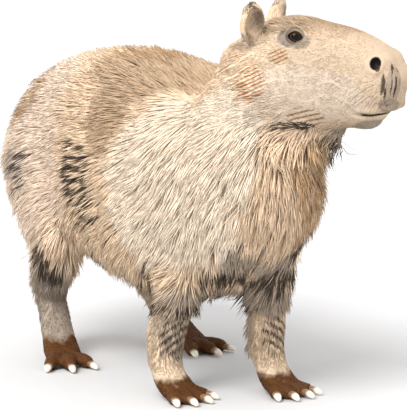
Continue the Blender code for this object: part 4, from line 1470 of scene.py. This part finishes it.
@dataclass(frozen=True)
class Fur:
    """The finish of the coat and of the skin under it."""

    roughness: float = 0.80
    short_light: float = 0.72

    def mask(self, nodes: Nodes, marking: Marking, place: bpy.types.NodeSocket, edge: Value) -> Value:
        """Where a marking is, from 0 to 1.

        Args:
            nodes: The material.
            marking: The marking.
            place: The place in the marking's frame, with y without its sign.
            edge: Noise that makes the edges ragged.

        Returns:
            The share of the marking.
        """
        total = None
        for patch in marking.patches:
            away = nodes.vector("SUBTRACT", place, patch.centre)
            away = nodes.length(nodes.vector("DIVIDE", away, patch.radii)) + edge * marking.ragged
            share = away.rise(1 + marking.soft, 1 - marking.soft) * patch.amount
            total = share if total is None else total.larger(share)
        return total

    def folded(self, nodes: Nodes, place: bpy.types.NodeSocket) -> bpy.types.NodeSocket:
        """The place with its y without its sign."""
        x, y, z = nodes.parts(place)
        return nodes.join(x, y.size(), z)

    def frames(self, nodes: Nodes, place: bpy.types.NodeSocket) -> tuple[bpy.types.NodeSocket, bpy.types.NodeSocket]:
        """The place in the animal's frame and in its head's.

        Args:
            nodes: The material.
            place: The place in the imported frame.

        Returns:
            The two places.
        """
        own = nodes.vector("SUBTRACT", place, tuple(SHIFT))
        turn = tuple(HEAD.place.to_euler("XYZ"))
        return own, nodes.mapped(own, "TEXTURE", location=HEAD.joint, rotation=turn)

    def headness(self, nodes: Nodes, head_place: bpy.types.NodeSocket) -> Value:
        """How far a place in the head's frame is on the head, from 0 to 1."""
        x, _, z = nodes.parts(head_place)
        return x.rise(0.00, 0.07) * z.rise(-0.118, -0.098)

    def evened(self, nodes: Nodes, place: bpy.types.NodeSocket) -> Value:
        """What evens out short fur, which shades itself less than long fur does.

        Args:
            nodes: The material.
            place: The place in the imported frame.

        Returns:
            The amount of the colour's light, 1 on long fur.
        """
        own, head = self.frames(nodes, place)
        height = nodes.parts(own)[2]
        short = self.headness(nodes, head).larger(height.rise(0.16, 0.10) * 0.6)
        return 1.0 - short * (1.0 - self.short_light)

    def colour(
        self,
        nodes: Nodes,
        place: bpy.types.NodeSocket,
        chance: Value,
        along: Value | None = None,
    ) -> bpy.types.NodeSocket:
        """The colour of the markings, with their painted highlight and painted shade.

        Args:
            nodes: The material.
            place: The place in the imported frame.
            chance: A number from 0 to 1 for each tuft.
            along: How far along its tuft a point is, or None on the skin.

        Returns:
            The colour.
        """
        own, head = self.frames(nodes, place)
        stretched = nodes.mapped(own, scale=(9, 22, 30))
        edge = nodes.noise(stretched, 1.0, 3.0, 0.6) * 2.0 + nodes.noise(own, 70.0) * 0.8
        body_place, head_place = self.folded(nodes, own), self.folded(nodes, head)
        colour = linear(TAN)
        for mark in Marks:
            marking = mark.value
            marked = head_place if marking.in_head else own if marking.one_side else body_place
            share = self.mask(nodes, marking, marked, edge)
            colour = nodes.mix(share, colour, linear(marking.colour))
        colour = self.strokes(nodes, colour, own, body_place, head_place, chance, edge, along)
        streaks = nodes.noise(nodes.mapped(head_place, scale=(230, 230, 24)), 1.0, 1.0).rise(0.04, 0.12)
        colour = nodes.mix(self.mask(nodes, STREAKS, head_place, edge) * streaks, colour, linear(INK_AND_SHADE))
        return self.feet(nodes, colour, body_place, edge)

    def strokes(
        self,
        nodes: Nodes,
        colour: object,
        own: bpy.types.NodeSocket,
        body_place: bpy.types.NodeSocket,
        head_place: bpy.types.NodeSocket,
        chance: Value,
        edge: Value,
        along: Value | None,
    ) -> bpy.types.NodeSocket:
        """Darkens some tufts where the coat is drawn with strokes; in the folds, the groin, the ruff's far edge, the
        fringe and the legs this is painted shade.

        Args:
            nodes: The material.
            colour: The colour so far.
            own: The place in the animal's frame.
            body_place: The folded place in the animal's frame.
            head_place: The folded place in the head's frame.
            chance: A number from 0 to 1 for each tuft.
            edge: Noise for the edges.
            along: How far along its tuft a point is, or None on the skin.

        Returns:
            The colour with the darker tufts.
        """
        for stroke in Strokes:
            drawn = stroke.value
            place = head_place if drawn.in_head else own if drawn.one_side else body_place
            if drawn.tips and along is None:
                continue
            share = self.mask(nodes, Marking((0, 0, 0), drawn.patches, ragged=0.22, soft=0.3), place, edge)
            if not drawn.in_head:
                share = share * (1.0 - self.headness(nodes, head_place))
            if drawn.rows:
                x, y, z = nodes.parts(place)
                z = z + x * drawn.slant[0] + y * drawn.slant[1]
                height = z * (math.tau / drawn.rows) + edge * 0.4
                share = share * nodes.math("SINE", height).rise(-0.1, 0.4)
            share = (chance + share).over(1.0 + drawn.spared) * drawn.depth
            if drawn.tips:
                share = share * along.rise(0.15, 0.60)
            colour = nodes.mix(share, colour, linear(drawn.colour))
        return colour

    def feet(self, nodes: Nodes, colour: object, place: bpy.types.NodeSocket, edge: Value) -> bpy.types.NodeSocket:
        """Gives the feet their dark brown, higher up behind than in front."""
        x, _, z = nodes.parts(place)
        top = x.rise(0.02, 0.08) * -0.010 + 0.050
        share = (top - z + edge * 0.020).rise(-0.007, 0.007)
        return nodes.mix(share, colour, linear(BROWN))


@dataclass(frozen=True)
class Stroke:
    """Where tufts of another colour are mixed in.

    spared is how few they are, depth how strong their colour is. tips keeps it to their outer halves.
    rows is how far apart the rows are that they stand in, 0 for none, and slant how far the rows fall
    with x and with y.
    one_side keeps the patches to the side that they are given for.
    """

    colour: Colour
    patches: tuple[Patch, ...]
    spared: float
    depth: float = 0.8
    in_head: bool = False
    tips: bool = False
    rows: float = 0.0
    slant: tuple[float, float] = (0.0, 0.0)
    one_side: bool = False


STREAKS = Marking(INK_AND_SHADE, (Patch((0.258, 0.044, -0.012), (0.016, 0.018, 0.036), 0.9),), ragged=0.12)


class Strokes(Enum):
    """The areas with darker tufts mixed in, several of them painted shade."""

    BACK = Stroke(
        STROKE,
        (Patch((-0.02, 0.0, 0.600), (0.22, 0.12, 0.05)), Patch((-0.33, 0.12, 0.490), (0.11, 0.12, 0.07))),
        0.66,
        0.85,
    )
    # painted shade: rows of near-black tufts in the fold between flank and thigh, and behind the thigh
    FOLD = Stroke(
        INK_AND_SHADE,
        (Patch((-0.010, 0.175, 0.350), (0.055, 0.060, 0.085)), Patch((-0.248, 0.190, 0.360), (0.032, 0.050, 0.034))),
        0.18,
        0.92,
        rows=0.019,
    )
    # painted shade: near-black tufts along the crease where thigh meets flank
    SEAM = Stroke(INK_AND_SHADE, (Patch((-0.055, 0.180, 0.375), (0.012, 0.040, 0.060)),), 0.35, 0.9)
    HATCH = Stroke(
        RUST,
        (Patch((0.074, 0.075, 0.014), (0.020, 0.040, 0.015)), Patch((0.036, 0.085, -0.035), (0.028, 0.040, 0.034))),
        0.28,
        0.95,
        True,
        rows=0.0070,
        slant=(-0.6, 0.0),
    )
    CHEEK = Stroke(
        STROKE,
        (Patch((0.128, 0.065, -0.082), (0.038, 0.040, 0.020)),),
        0.30,
        0.95,
        True,
        rows=0.009,
        slant=(-0.35, 0.0),
    )
    JAW = Stroke(INK_AND_SHADE, (Patch((0.112, 0.070, -0.095), (0.042, 0.040, 0.007)),), 0.35, 0.9, True)
    BROW = Stroke(STROKE, (Patch((0.150, 0.000, 0.070), (0.080, 0.026, 0.012)),), 0.50, 0.6, True)
    RIM = Stroke(INK_AND_SHADE, (Patch((0.014, 0.084, 0.092), (0.024, 0.030, 0.018)),), 0.50, 0.85, True)
    RUFF = Stroke(
        STROKE,
        (Patch((0.405, 0.040, 0.420), (0.075, 0.062, 0.080)), Patch((0.380, 0.060, 0.340), (0.070, 0.050, 0.060))),
        0.60,
        0.9,
        one_side=True,
    )
    # painted shade: near-black tips on the far side of the ruff and chest
    EDGE = Stroke(
        INK_AND_SHADE,
        (
            Patch((0.420, 0.110, 0.450), (0.060, 0.045, 0.060)),
            Patch((0.385, 0.115, 0.380), (0.060, 0.040, 0.070)),
            Patch((0.365, 0.080, 0.290), (0.060, 0.045, 0.045)),
        ),
        0.40,
        0.92,
        tips=True,
        one_side=True,
    )
    # painted shade: near-black tips on the fringe under the chest and belly
    FRINGE = Stroke(
        INK_AND_SHADE,
        (Patch((0.320, 0.060, 0.225), (0.080, 0.070, 0.032)), Patch((0.080, 0.060, 0.170), (0.180, 0.100, 0.030))),
        0.42,
        0.92,
        tips=True,
    )
    # painted shade: near-black tufts in the groin, behind the foreleg and at the hind knee
    GROIN = Stroke(
        INK_AND_SHADE,
        (
            Patch((-0.080, 0.120, 0.210), (0.030, 0.050, 0.030)),
            Patch((0.140, 0.128, 0.200), (0.020, 0.050, 0.045)),
            Patch((-0.185, 0.168, 0.190), (0.030, 0.040, 0.045)),
        ),
        0.38,
        0.9,
    )
    # painted shade: rows of near-black tufts on the fronts of the legs
    LEGS = Stroke(
        INK_AND_SHADE,
        (
            Patch((0.212, 0.100, 0.110), (0.040, 0.050, 0.050)),
            Patch((0.262, 0.080, 0.110), (0.040, 0.050, 0.050)),
            Patch((-0.110, 0.150, 0.170), (0.040, 0.050, 0.040)),
        ),
        0.30,
        0.85,
        rows=0.015,
        slant=(-0.35, 0.6),
    )


@dataclass(frozen=True)
class CoatFinish(Fur):
    """The finish of the tufts."""

    def material(self) -> bpy.types.Material:
        """Makes the tufts' material."""
        nodes = Nodes("coat")
        along, tint, chance = nodes.parts(nodes.attribute("tuft"))
        colour = self.colour(nodes, nodes.attribute("site"), chance, along)
        fine = nodes.noise(nodes.place(), 420.0, 1.0)
        # each tuft is darker towards its root, painted shade deep in the coat; tint and the fine noise vary the colour
        # at random
        amount = (0.92 + 0.20 * tint) * (0.90 + 0.14 * along) + fine * 0.06
        amount = amount * self.evened(nodes, nodes.attribute("site"))
        nodes.surface(Base_Color=nodes.scaled(colour, amount), Roughness=self.roughness)
        nodes.surface(Specular_IOR_Level=0.2)
        return nodes.material


@dataclass(frozen=True)
class SkinFinish(Fur):
    """The finish of the skin: short hair on the face, leather on nose, lids, ears and toes."""

    def lips(self, nodes: Nodes, head_place: bpy.types.NodeSocket) -> Value:
        """Where the painted shade of the crease between the lips is, from 0 to 1."""
        x, _, z = nodes.parts(head_place)
        line = None
        for (x_1, z_1), (x_2, z_2) in zip(Skin.mouth, Skin.mouth[1:]):
            on_part = x.over(x_1) * (1.0 - x.over(x_2))
            height = on_part * (z_1 + (x - x_1) * ((z_2 - z_1) / (x_2 - x_1)))
            line = height if line is None else line + height
        return (z - line).size().rise(0.0024, 0.0012) * x.rise(0.212, 0.218)

    def material(self) -> bpy.types.Material:
        """Makes the skin's material."""
        nodes = Nodes("skin")
        place = nodes.place()
        own, head = self.frames(nodes, place)
        hairs = nodes.noise(nodes.mapped(head, scale=(160, 700, 700)), 1.0, 3.0, 0.6)
        colour = self.colour(nodes, place, hairs + 0.5)
        folded = self.folded(nodes, head)
        centre = nodes.vector("SUBTRACT", folded, EYE.centre)
        lids = nodes.length(centre).rise(EYE.radius + 0.0042, EYE.radius + 0.0018)
        colour = nodes.mix(lids, colour, linear((72, 58, 50)))
        nostril = nodes.vector("SUBTRACT", folded, Skin.nostril)
        # painted shade: near-black in and round the nostril's hole
        nostril_shade = nodes.length(nodes.vector("DIVIDE", nostril, Skin.nostril_size)).rise(1.32, 1.10)
        colour = nodes.mix(nostril_shade, colour, linear((28, 20, 18)))
        amount = (0.95 + hairs * 0.12) * self.evened(nodes, place)
        # painted shade: near-black along the crease between the lips
        colour = nodes.mix(self.lips(nodes, folded), colour, linear(INK_AND_SHADE))
        nodes.surface(Base_Color=nodes.scaled(colour, amount), Roughness=0.75)
        nodes.surface(Specular_IOR_Level=0.3)
        nodes.bump(hairs, 0.20, 0.0004)
        return nodes.material


@dataclass(frozen=True)
class EyeFinish:
    """A dark, wet eye with a brown iris."""

    iris: Colour = (84, 50, 26)
    rim: Colour = (24, 15, 11)

    def material(self) -> bpy.types.Material:
        """Makes the eyes' material."""
        nodes = Nodes("eye")
        _, y, z = nodes.parts(nodes.attribute("gaze"))
        out = nodes.length(nodes.join(0.0, y, z))
        fibres = nodes.noise(nodes.mapped(nodes.attribute("gaze"), scale=(2, 30, 30)), 1.0, 4.0, 0.7)
        pupil = nodes.length(nodes.join(0.0, y * 0.85, z * 1.15)).rise(0.50, 0.44)
        colour = nodes.mix((fibres + 0.5).rise(0.3, 0.8), linear(self.iris), linear((48, 27, 14)))
        colour = nodes.mix(out.rise(0.56, 0.70), colour, linear(self.rim))
        colour = nodes.mix(pupil, colour, linear((6, 5, 5)))
        nodes.surface(Base_Color=colour, Roughness=0.10)
        nodes.surface(Coat_Weight=0.30, Coat_Roughness=0.02, Specular_IOR_Level=0.03)
        return nodes.material


@dataclass(frozen=True)
class ClawFinish:
    """Horn, pale at the tip and brown at the root, with fine lines along it."""

    pale: Colour = (236, 226, 208)
    dark: Colour = (126, 96, 66)

    def material(self) -> bpy.types.Material:
        """Makes the claws' material."""
        nodes = Nodes("claw")
        along, across, _ = nodes.parts(nodes.attribute("horn"))
        lines = nodes.noise(nodes.join(along * 3.0, across * 26.0, 0.0), 1.0, 2.0)
        colour = nodes.mix((along + lines * 0.25).rise(0.15, 0.60), linear(self.dark), linear(self.pale))
        nodes.surface(Base_Color=nodes.scaled(colour, 1.0 + lines * 0.3), Roughness=0.38 + lines * 0.2)
        nodes.bump(lines, 0.3, 0.0003)
        return nodes.material


@dataclass(frozen=True)
class WhiskerFinish:
    """The whiskers: dark, with pale tips."""

    def material(self) -> bpy.types.Material:
        """Makes the whiskers' material."""
        nodes = Nodes("whisker")
        grain = nodes.noise(nodes.place(), 300.0)
        colour = nodes.mix((grain + 0.5).rise(0.2, 0.8), linear((60, 46, 36)), linear((110, 88, 68)))
        nodes.surface(Base_Color=colour, Roughness=0.45 + grain * 0.1)
        return nodes.material


@dataclass(frozen=True)
class FloorFinish:
    """The plain pale floor."""

    def material(self) -> bpy.types.Material:
        """Makes the floor's material."""
        nodes = Nodes("floor")
        grain = nodes.noise(nodes.place(), 6.0, 3.0)
        colour = nodes.mix((grain + 0.5).rise(0.3, 0.7), (0.615, 0.612, 0.608, 1), (0.635, 0.632, 0.628, 1))
        nodes.surface(Base_Color=colour, Roughness=0.85)
        return nodes.material


def dress(piece: bpy.types.Object, material: bpy.types.Material) -> None:
    """Gives a piece its one material."""
    piece.data.materials.clear()
    piece.data.materials.append(material)


def settle(piece: bpy.types.Object, slot: str, *nodes: str) -> None:
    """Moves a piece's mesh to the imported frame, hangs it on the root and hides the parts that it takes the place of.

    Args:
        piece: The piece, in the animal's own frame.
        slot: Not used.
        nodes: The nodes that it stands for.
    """
    piece.data.transform(Matrix.Translation(SHIFT))
    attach(piece, "root")
    if nodes:
        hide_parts(*nodes)


def lay_attribute(mesh: bpy.types.Mesh, name: str, values: Array) -> None:
    """Stores one vector a vertex in a mesh."""
    mesh.attributes.new(name, "FLOAT_VECTOR", "POINT").data.foreach_set("vector", values.ravel())


@dataclass(frozen=True)
class Eyeball:
    """One eye: a ball with the bulge of its clear front."""

    place: EyePlace = EYE
    bulge: float = 0.0007
    bulge_reach: float = 0.62

    def build(self, side: Side) -> bpy.types.Object:
        """Builds the eye on this side.

        Args:
            side: The side of the head.

        Returns:
            The eye, in the animal's own frame.
        """
        bm = bmesh.new()
        bmesh.ops.create_uvsphere(bm, u_segments=48, v_segments=32, radius=1)
        bmesh.ops.rotate(bm, verts=bm.verts, cent=(0, 0, 0), matrix=Matrix.Rotation(math.pi / 2, 3, "Y"))
        gaze = np.array([vert.co for vert in bm.verts])
        off = np.hypot(gaze[:, 1], gaze[:, 2])
        rise = np.clip(1 - (off / self.bulge_reach) ** 2, 0, 1) * (gaze[:, 0] > 0)
        radii = self.place.radius - 0.0001 + self.bulge * rise
        frame = HEAD.place @ Matrix.Translation(self.place.middle(side)) @ self.place.turn(side)
        for vert, radius in zip(bm.verts, radii):
            vert.co = frame @ (vert.co * radius)
        eye = finish_mesh(bm, f"eyeball_{side.word}")
        lay_attribute(eye.data, "gaze", gaze)
        eye.data.shade_smooth()
        return eye


@dataclass(frozen=True)
class Claw:
    """One claw: a broad nail, round above and bent down to its edge."""

    rings: tuple[tuple[float, float, float, float, float], ...] = (
        (-0.0120, 0.0135, 0.0070, 0.0055, 0.0058),
        (0.0000, 0.0130, 0.0074, 0.0058, 0.0060),
        (0.0060, 0.0121, 0.0070, 0.0055, 0.0056),
        (0.0120, 0.0104, 0.0057, 0.0044, 0.0046),
        (0.0165, 0.0086, 0.0040, 0.0033, 0.0034),
        (0.0185, 0.0078, 0.0022, 0.0020, 0.0022),
    )

    def build(self, foot: Foot, number: int) -> bpy.types.Object:
        """Builds one claw of a foot.

        Args:
            foot: The foot.
            number: Which toe, from 0.

        Returns:
            The claw, in the animal's own frame.
        """
        start, degrees, length = foot.toes[number]
        ahead = Vector((math.cos(math.radians(degrees)), math.sin(math.radians(degrees)), 0))
        keys = []
        for past, high, width, up, down in self.rings:
            centre = Vector((Limbs.toe_root, start, high)) + ahead * (length + past)
            keys.append((*centre, width, up, down))
        bm = bmesh.new()
        loft(bm, tuple(keys), foot.place(True), count=18, sides=20, square=2.2)
        claw = finish_mesh(bm, f"nail_{foot.name}_{number + 1}")
        frame = foot.place(True) @ Matrix.Translation(Vector((Limbs.toe_root, start, 0)))
        frame = frame @ Matrix.Rotation(math.radians(degrees), 4, "Z")
        points, _ = mesh_arrays(claw.data)
        back = np.array(frame.inverted())
        local = points @ back[:3, :3].T + back[:3, 3]
        along = (local[:, 0] - length) / 0.0185
        lay_attribute(claw.data, "horn", np.column_stack([along, local[:, 1] / 0.0074, local[:, 2] / 0.01]))
        claw.data.shade_smooth()
        return claw


@dataclass(frozen=True)
class Whiskers:
    """The long whiskers of the upper lip."""

    rows: int = 4
    each: int = 5
    length: tuple[float, float] = (0.030, 0.062)
    width: float = 0.00036
    seed: int = 5

    def build(self, skin: bpy.types.Object) -> bpy.types.Object:
        """Builds the whiskers of both sides.

        Args:
            skin: The skin that they grow from, in the animal's own frame.

        Returns:
            The whiskers as one piece.
        """
        rng = np.random.default_rng(self.seed)
        points, _ = mesh_arrays(skin.data)
        tree = BVHTree.FromPolygons(points.tolist(), triangles_of(skin.data).tolist())
        bm = bmesh.new()
        for side in Side:
            for row in range(self.rows):
                for i in range(self.each):
                    x = 0.254 - 0.0105 * i - 0.002 * row
                    z = -0.012 - 0.0105 * row + 0.002 * rng.uniform(-1, 1)
                    start = HEAD.place @ Vector((x, side.value * 0.12, z))
                    inwards = HEAD.place.to_3x3() @ Vector((0, -side.value, 0))
                    spot, normal, _, _ = tree.ray_cast(start, inwards)
                    if spot is None:
                        continue
                    self.add(bm, spot, normal, side, rng)
        return finish_mesh(bm, "whiskers")

    def add(self, bm: bmesh.types.BMesh, spot: Vector, normal: Vector, side: Side, rng: np.random.Generator) -> None:
        """Adds one whisker, from under the skin out and back along the face.

        Args:
            bm: The bmesh that it is added to.
            spot: Where it leaves the skin.
            normal: The skin's normal there.
            side: The side of the face.
            rng: The seeded source of chance.
        """
        sweep = Vector((-0.55 + 0.25 * rng.uniform(-1, 1), 0, -0.25 + 0.2 * rng.uniform(-1, 1)))
        lead = (normal + HEAD.place.to_3x3() @ sweep).normalized()
        turn = lead.to_track_quat("X", "Z").to_matrix().to_4x4()
        long = self.length[0] + (self.length[1] - self.length[0]) * rng.uniform(0, 1)
        place = Matrix.Translation(spot - lead * 0.0015) @ turn
        keys = []
        for step in (0, 0.33, 0.66, 1.0):
            width = self.width * (1 - 0.85 * step)
            keys.append((long * step, 0, -0.22 * long * step**2, width, width, width))
        loft(bm, tuple(keys), place, count=7, sides=5, square=2)


@dataclass(frozen=True)
class Studio:
    """The floor, the lights and the camera."""

    azimuth: float = math.radians(62)
    elevation: float = math.radians(9)
    distance: float = 4.2
    target: Triple = (0.06, 0.0, 0.30)
    focal: float = 2368.0
    middle: tuple[float, float] = (189.5, 213.5)
    size: tuple[float, float] = (407.0, 410.0)

    def back(self) -> Vector:
        """The way from the animal to the camera."""
        level = math.cos(self.elevation)
        return Vector((math.sin(self.azimuth) * level, -math.cos(self.azimuth) * level, math.sin(self.elevation)))

    def add_camera(self) -> None:
        """Adds the camera."""
        data = bpy.data.cameras.new("camera")
        data.sensor_fit = "HORIZONTAL"
        data.sensor_width = 36
        data.lens = self.focal * 36 / self.size[0]
        data.shift_x = (self.size[0] / 2 - self.middle[0]) / self.size[0]
        data.shift_y = (self.middle[1] - self.size[1] / 2) / self.size[0]
        data.clip_end = 100
        camera = bpy.data.objects.new("camera", data)
        bpy.context.scene.collection.objects.link(camera)
        camera.location = Vector(self.target) + SHIFT + self.back() * self.distance
        camera.rotation_euler = self.back().to_track_quat("Z", "Y").to_euler()
        bpy.context.scene.camera = camera

    def add_sun(self, place: Triple, power: float) -> None:
        """Adds a wide, soft light that shines evenly on everything.

        Args:
            place: The way that it comes from.
            power: Its power on a square metre.
        """
        data = bpy.data.lights.new("key", "SUN")
        data.energy = power
        data.angle = math.radians(32)
        light = bpy.data.objects.new("key", data)
        bpy.context.scene.collection.objects.link(light)
        light.rotation_euler = Vector(place).to_track_quat("Z", "Y").to_euler()

    def build(self) -> None:
        """Adds the floor, the lights, the backdrop's light and the camera."""
        bm = bmesh.new()
        bmesh.ops.create_circle(bm, cap_ends=True, segments=96, radius=40)
        floor = finish_mesh(bm, "floor")
        dress(floor, FloorFinish().material())
        world = bpy.data.worlds.new("world")
        bpy.context.scene.world = world
        world.use_nodes = True
        background = world.node_tree.nodes["Background"]
        background.inputs[0].default_value = (0.97, 0.97, 0.98, 1)
        background.inputs[1].default_value = 1.2
        self.add_sun((1.6, -2.6, 3.2), 3.0)
        bpy.context.scene.view_settings.view_transform = "Standard"
        self.add_camera()


FLESH = ("torso", "neck", "head", "ear", "foreleg", "forefoot", "thigh", "shank", "hindfoot")


def main() -> None:
    """Builds the animal and the studio."""
    logging.basicConfig(level=logging.INFO, format="%(message)s")
    maker = Skin()
    skin = maker.build()
    LOG.info("skin: %d triangles", len(skin.data.polygons))
    coat = Coat(skin, maker)
    groups = coat.grow()
    unwrap = Unwrap(skin)
    for group in groups.values():
        group["flat"] = unwrap.places(group["root"])
    shift = np.array(SHIFT)
    for group in groups.values():
        for name in ("rings", "tips", "root", "site"):
            group[name] = group[name] + shift
    fur = CoatFinish().material()
    for piece in coat.pieces(groups):
        dress(piece, fur)
        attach(piece, "root")
        LOG.info("%s: %d triangles", piece.name, len(piece.data.polygons))
    whiskers = Whiskers().build(skin)
    dress(whiskers, WhiskerFinish().material())
    settle(whiskers, "coat")
    dress(skin, SkinFinish().material())
    settle(skin, "coat", *(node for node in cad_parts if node.startswith(FLESH)))
    eye = EyeFinish().material()
    for side in Side:
        ball_piece = Eyeball().build(side)
        dress(ball_piece, eye)
        settle(ball_piece, "eye", f"eye_{side.word}")
    horn = ClawFinish().material()
    for foot in FEET:
        for number in range(len(foot.toes)):
            claw = Claw().build(foot, number)
            dress(claw, horn)
            settle(claw, "claw", f"claw_{foot.name}_{number + 1}")
    Studio().build()


if __name__ == "__main__":
    main()
